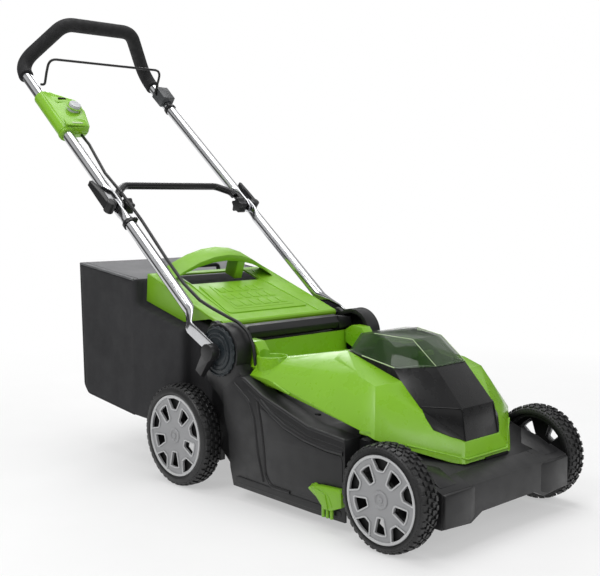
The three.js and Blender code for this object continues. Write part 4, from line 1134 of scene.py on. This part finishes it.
def button_cap():
    """A dished cap on the start button, with a collar around it on the box."""
    profile = [
        (0.0005, 0.0), (0.0118, 0.0), (0.0128, 0.0008), (0.0128, 0.0016), (0.0112, 0.0022), (0.0005, 0.0014),
    ]
    verts = []
    for turn in ROUND:
        for radius, height in profile:
            out, across = polar(radius, turn)
            verts.append(on_box(*BUTTON, 40) + DOWN_TUBE * out + Vector((0, across, 0))
                         + OFF_TUBE * (height - 0.0005))
    faces = sections_faces(len(ROUND), len(profile), closed=True)
    piece("button_cap", verts, faces, "start_button", "button", "button_silver")
    collar = [on_box(BUTTON[0] + a, BUTTON[1] + b, 33.8) for a, b in (polar(16.6, turn) for turn in ROUND)]
    box_ring("button_collar", collar, 0.0018, 10)


box_half("switch_box", 3.8, BOX_FLOOR)
box_half("switch_lid", 4.2, BOX_ROOF)
box_collar()
box_part("box_ledge", [(a, y, o) for a, o in ((6, 22), (6, 25), (26, 29), (26, 25)) for y in (-192, -136)],
         "green", 1.2)
# The slot is pale: a painted highlight along the ledge.
box_part("box_slot_highlight", [(a, y, o) for a in (11, 15) for y in (-176, -148) for o in (24, 27.6)],
         "painted_highlight", 0.4)
box_part("box_ramp", [
    (98, -130, 22), (98, -176, 20), (98, -130, 27.5), (98, -172, 24), (142, -170, 17), (142, -182, 17),
    (142, -172, 21),
], "green", 1.4)
# The vent is a near-black block: painted shade in place of the opening.
box_part("box_air_slot_painted_shade", [(a, y, o) for a in (108, 112) for y in (-166, -146) for o in (22, 27.4)], "painted_shade", 0.4)
button_cap()

# ---- stage ----

# Heights on the studio's dome, from straight down to straight up, with their brightness.
STUDIO_BANDS = (
    (0.0, 0.55), (0.47, 0.5), (0.53, 0.10), (0.62, 0.16), (0.70, 1.25), (0.82, 1.15), (1.0, 0.45),
)
STUDIO_STRENGTH = 0.55
FADE_START, FADE_END = 0.8, 1.9
LENS = 59.61
EYE = (1291.3, -1386.7, 559.8)
AZIMUTH, PITCH, ROLL = (math.radians(v) for v in (46.21, 4.99, -0.27))


def floor_look():
    """A pale floor that turns into the white backdrop as it runs away from the mower."""
    pale = Look("floor_pale")
    pale.colour(pale.noise(3, 3), (0.80, 0.80, 0.80), (0.84, 0.84, 0.84))
    pale.roughness(pale.noise(9, 3), 0.6, 0.7)
    distance = pale.node("ShaderNodeVectorMath", operation="LENGTH")
    pale.link(pale.coords.outputs["Object"], distance.inputs[0])
    fade = pale.spread(distance.outputs["Value"], 0.45, 1.0, FADE_START, FADE_END)
    glow = pale.node("ShaderNodeEmission")
    blend = pale.node("ShaderNodeMixShader")
    pale.link(fade, blend.inputs["Fac"])
    pale.link(pale.shader.outputs["BSDF"], blend.inputs[1])
    pale.link(glow.outputs["Emission"], blend.inputs[2])
    pale.link(blend.outputs["Shader"], pale.tree.nodes["Material Output"].inputs["Surface"])
    return pale.mat


def white_floor():
    floor_mesh = bpy.data.meshes.new("floor")
    floor_mesh.from_pydata([(-9, -9, 0), (9, -9, 0), (9, 9, 0), (-9, 9, 0)], [], [(0, 1, 2, 3)])
    floor = new_object("floor", floor_mesh)
    floor_mesh.materials.append(floor_look())


def studio_bands(sky):
    """The studio's dome: bands of light by height, for the lighting and the reflections."""
    direction = sky.nodes.new("ShaderNodeTexCoord")
    split = sky.nodes.new("ShaderNodeSeparateXYZ")
    bands = sky.nodes.new("ShaderNodeValToRGB")
    sky.links.new(direction.outputs["Generated"], split.inputs["Vector"])
    height = sky.nodes.new("ShaderNodeMapRange")
    fill(height, From_Min=-1)
    sky.links.new(split.outputs["Z"], height.inputs["Value"])
    sky.links.new(height.outputs["Result"], bands.inputs["Fac"])
    while len(bands.color_ramp.elements) < len(STUDIO_BANDS):
        bands.color_ramp.elements.new(0.5)
    for element, (place, level) in zip(bands.color_ramp.elements, STUDIO_BANDS):
        element.position = place
        element.color = (level, level, level, 1)
    return bands.outputs["Color"]


def studio_world():
    """The banded dome, with plain white in its place wherever the camera looks past the mower."""
    world = bpy.data.worlds.new("studio")
    world.use_nodes = True
    sky = world.node_tree
    studio = sky.nodes["Background"]
    sky.links.new(studio_bands(sky), studio.inputs["Color"])
    fill(studio, Strength=STUDIO_STRENGTH)
    plain = sky.nodes.new("ShaderNodeBackground")
    fill(plain, Color=(1, 1, 1, 1), Strength=1.0)
    rays = sky.nodes.new("ShaderNodeLightPath")
    pick = sky.nodes.new("ShaderNodeMixShader")
    sky.links.new(rays.outputs["Is Camera Ray"], pick.inputs["Fac"])
    sky.links.new(studio.outputs["Background"], pick.inputs[1])
    sky.links.new(plain.outputs["Background"], pick.inputs[2])
    sky.links.new(pick.outputs["Shader"], sky.nodes["World Output"].inputs["Surface"])
    bpy.context.scene.world = world


def lamp(name, place, aim, size, power):
    light = bpy.data.lights.new(name, "AREA")
    light.shape = "RECTANGLE"
    light.size, light.size_y = size
    light.energy = power
    obj = new_object(name, light)
    obj.location = place
    obj.rotation_euler = (Vector(aim) - Vector(place)).to_track_quat("-Z", "Y").to_euler()


def main_camera():
    camera = bpy.data.cameras.new("photo_view")
    camera.lens = LENS
    camera.sensor_width = 36.0
    camera.clip_end = 60
    view = new_object("photo_view", camera)
    turn = (Matrix.Rotation(AZIMUTH, 3, "Z") @ Matrix.Rotation(math.pi / 2 - PITCH, 3, "X")
            @ Matrix.Rotation(ROLL, 3, "Z"))
    view.matrix_world = Matrix.Translation(at(*EYE)) @ turn.to_4x4()
    bpy.context.scene.camera = view


white_floor()
studio_world()
lamp("key", (0.6, -2.6, 2.7), (0, 0, 0.3), (1.5, 1.5), 34)
lamp("front", (3.2, 0.2, 1.7), (0.2, 0, 0.3), (1.3, 1.8), 14)
lamp("top", (-0.2, 0.2, 3.4), (0, 0, 0.2), (2.6, 2.6), 62)
lamp("back", (-2.6, 1.6, 2.0), (0, 0, 0.4), (1.5, 1.5), 25)
bpy.context.scene.view_settings.view_transform = "Standard"
main_camera()
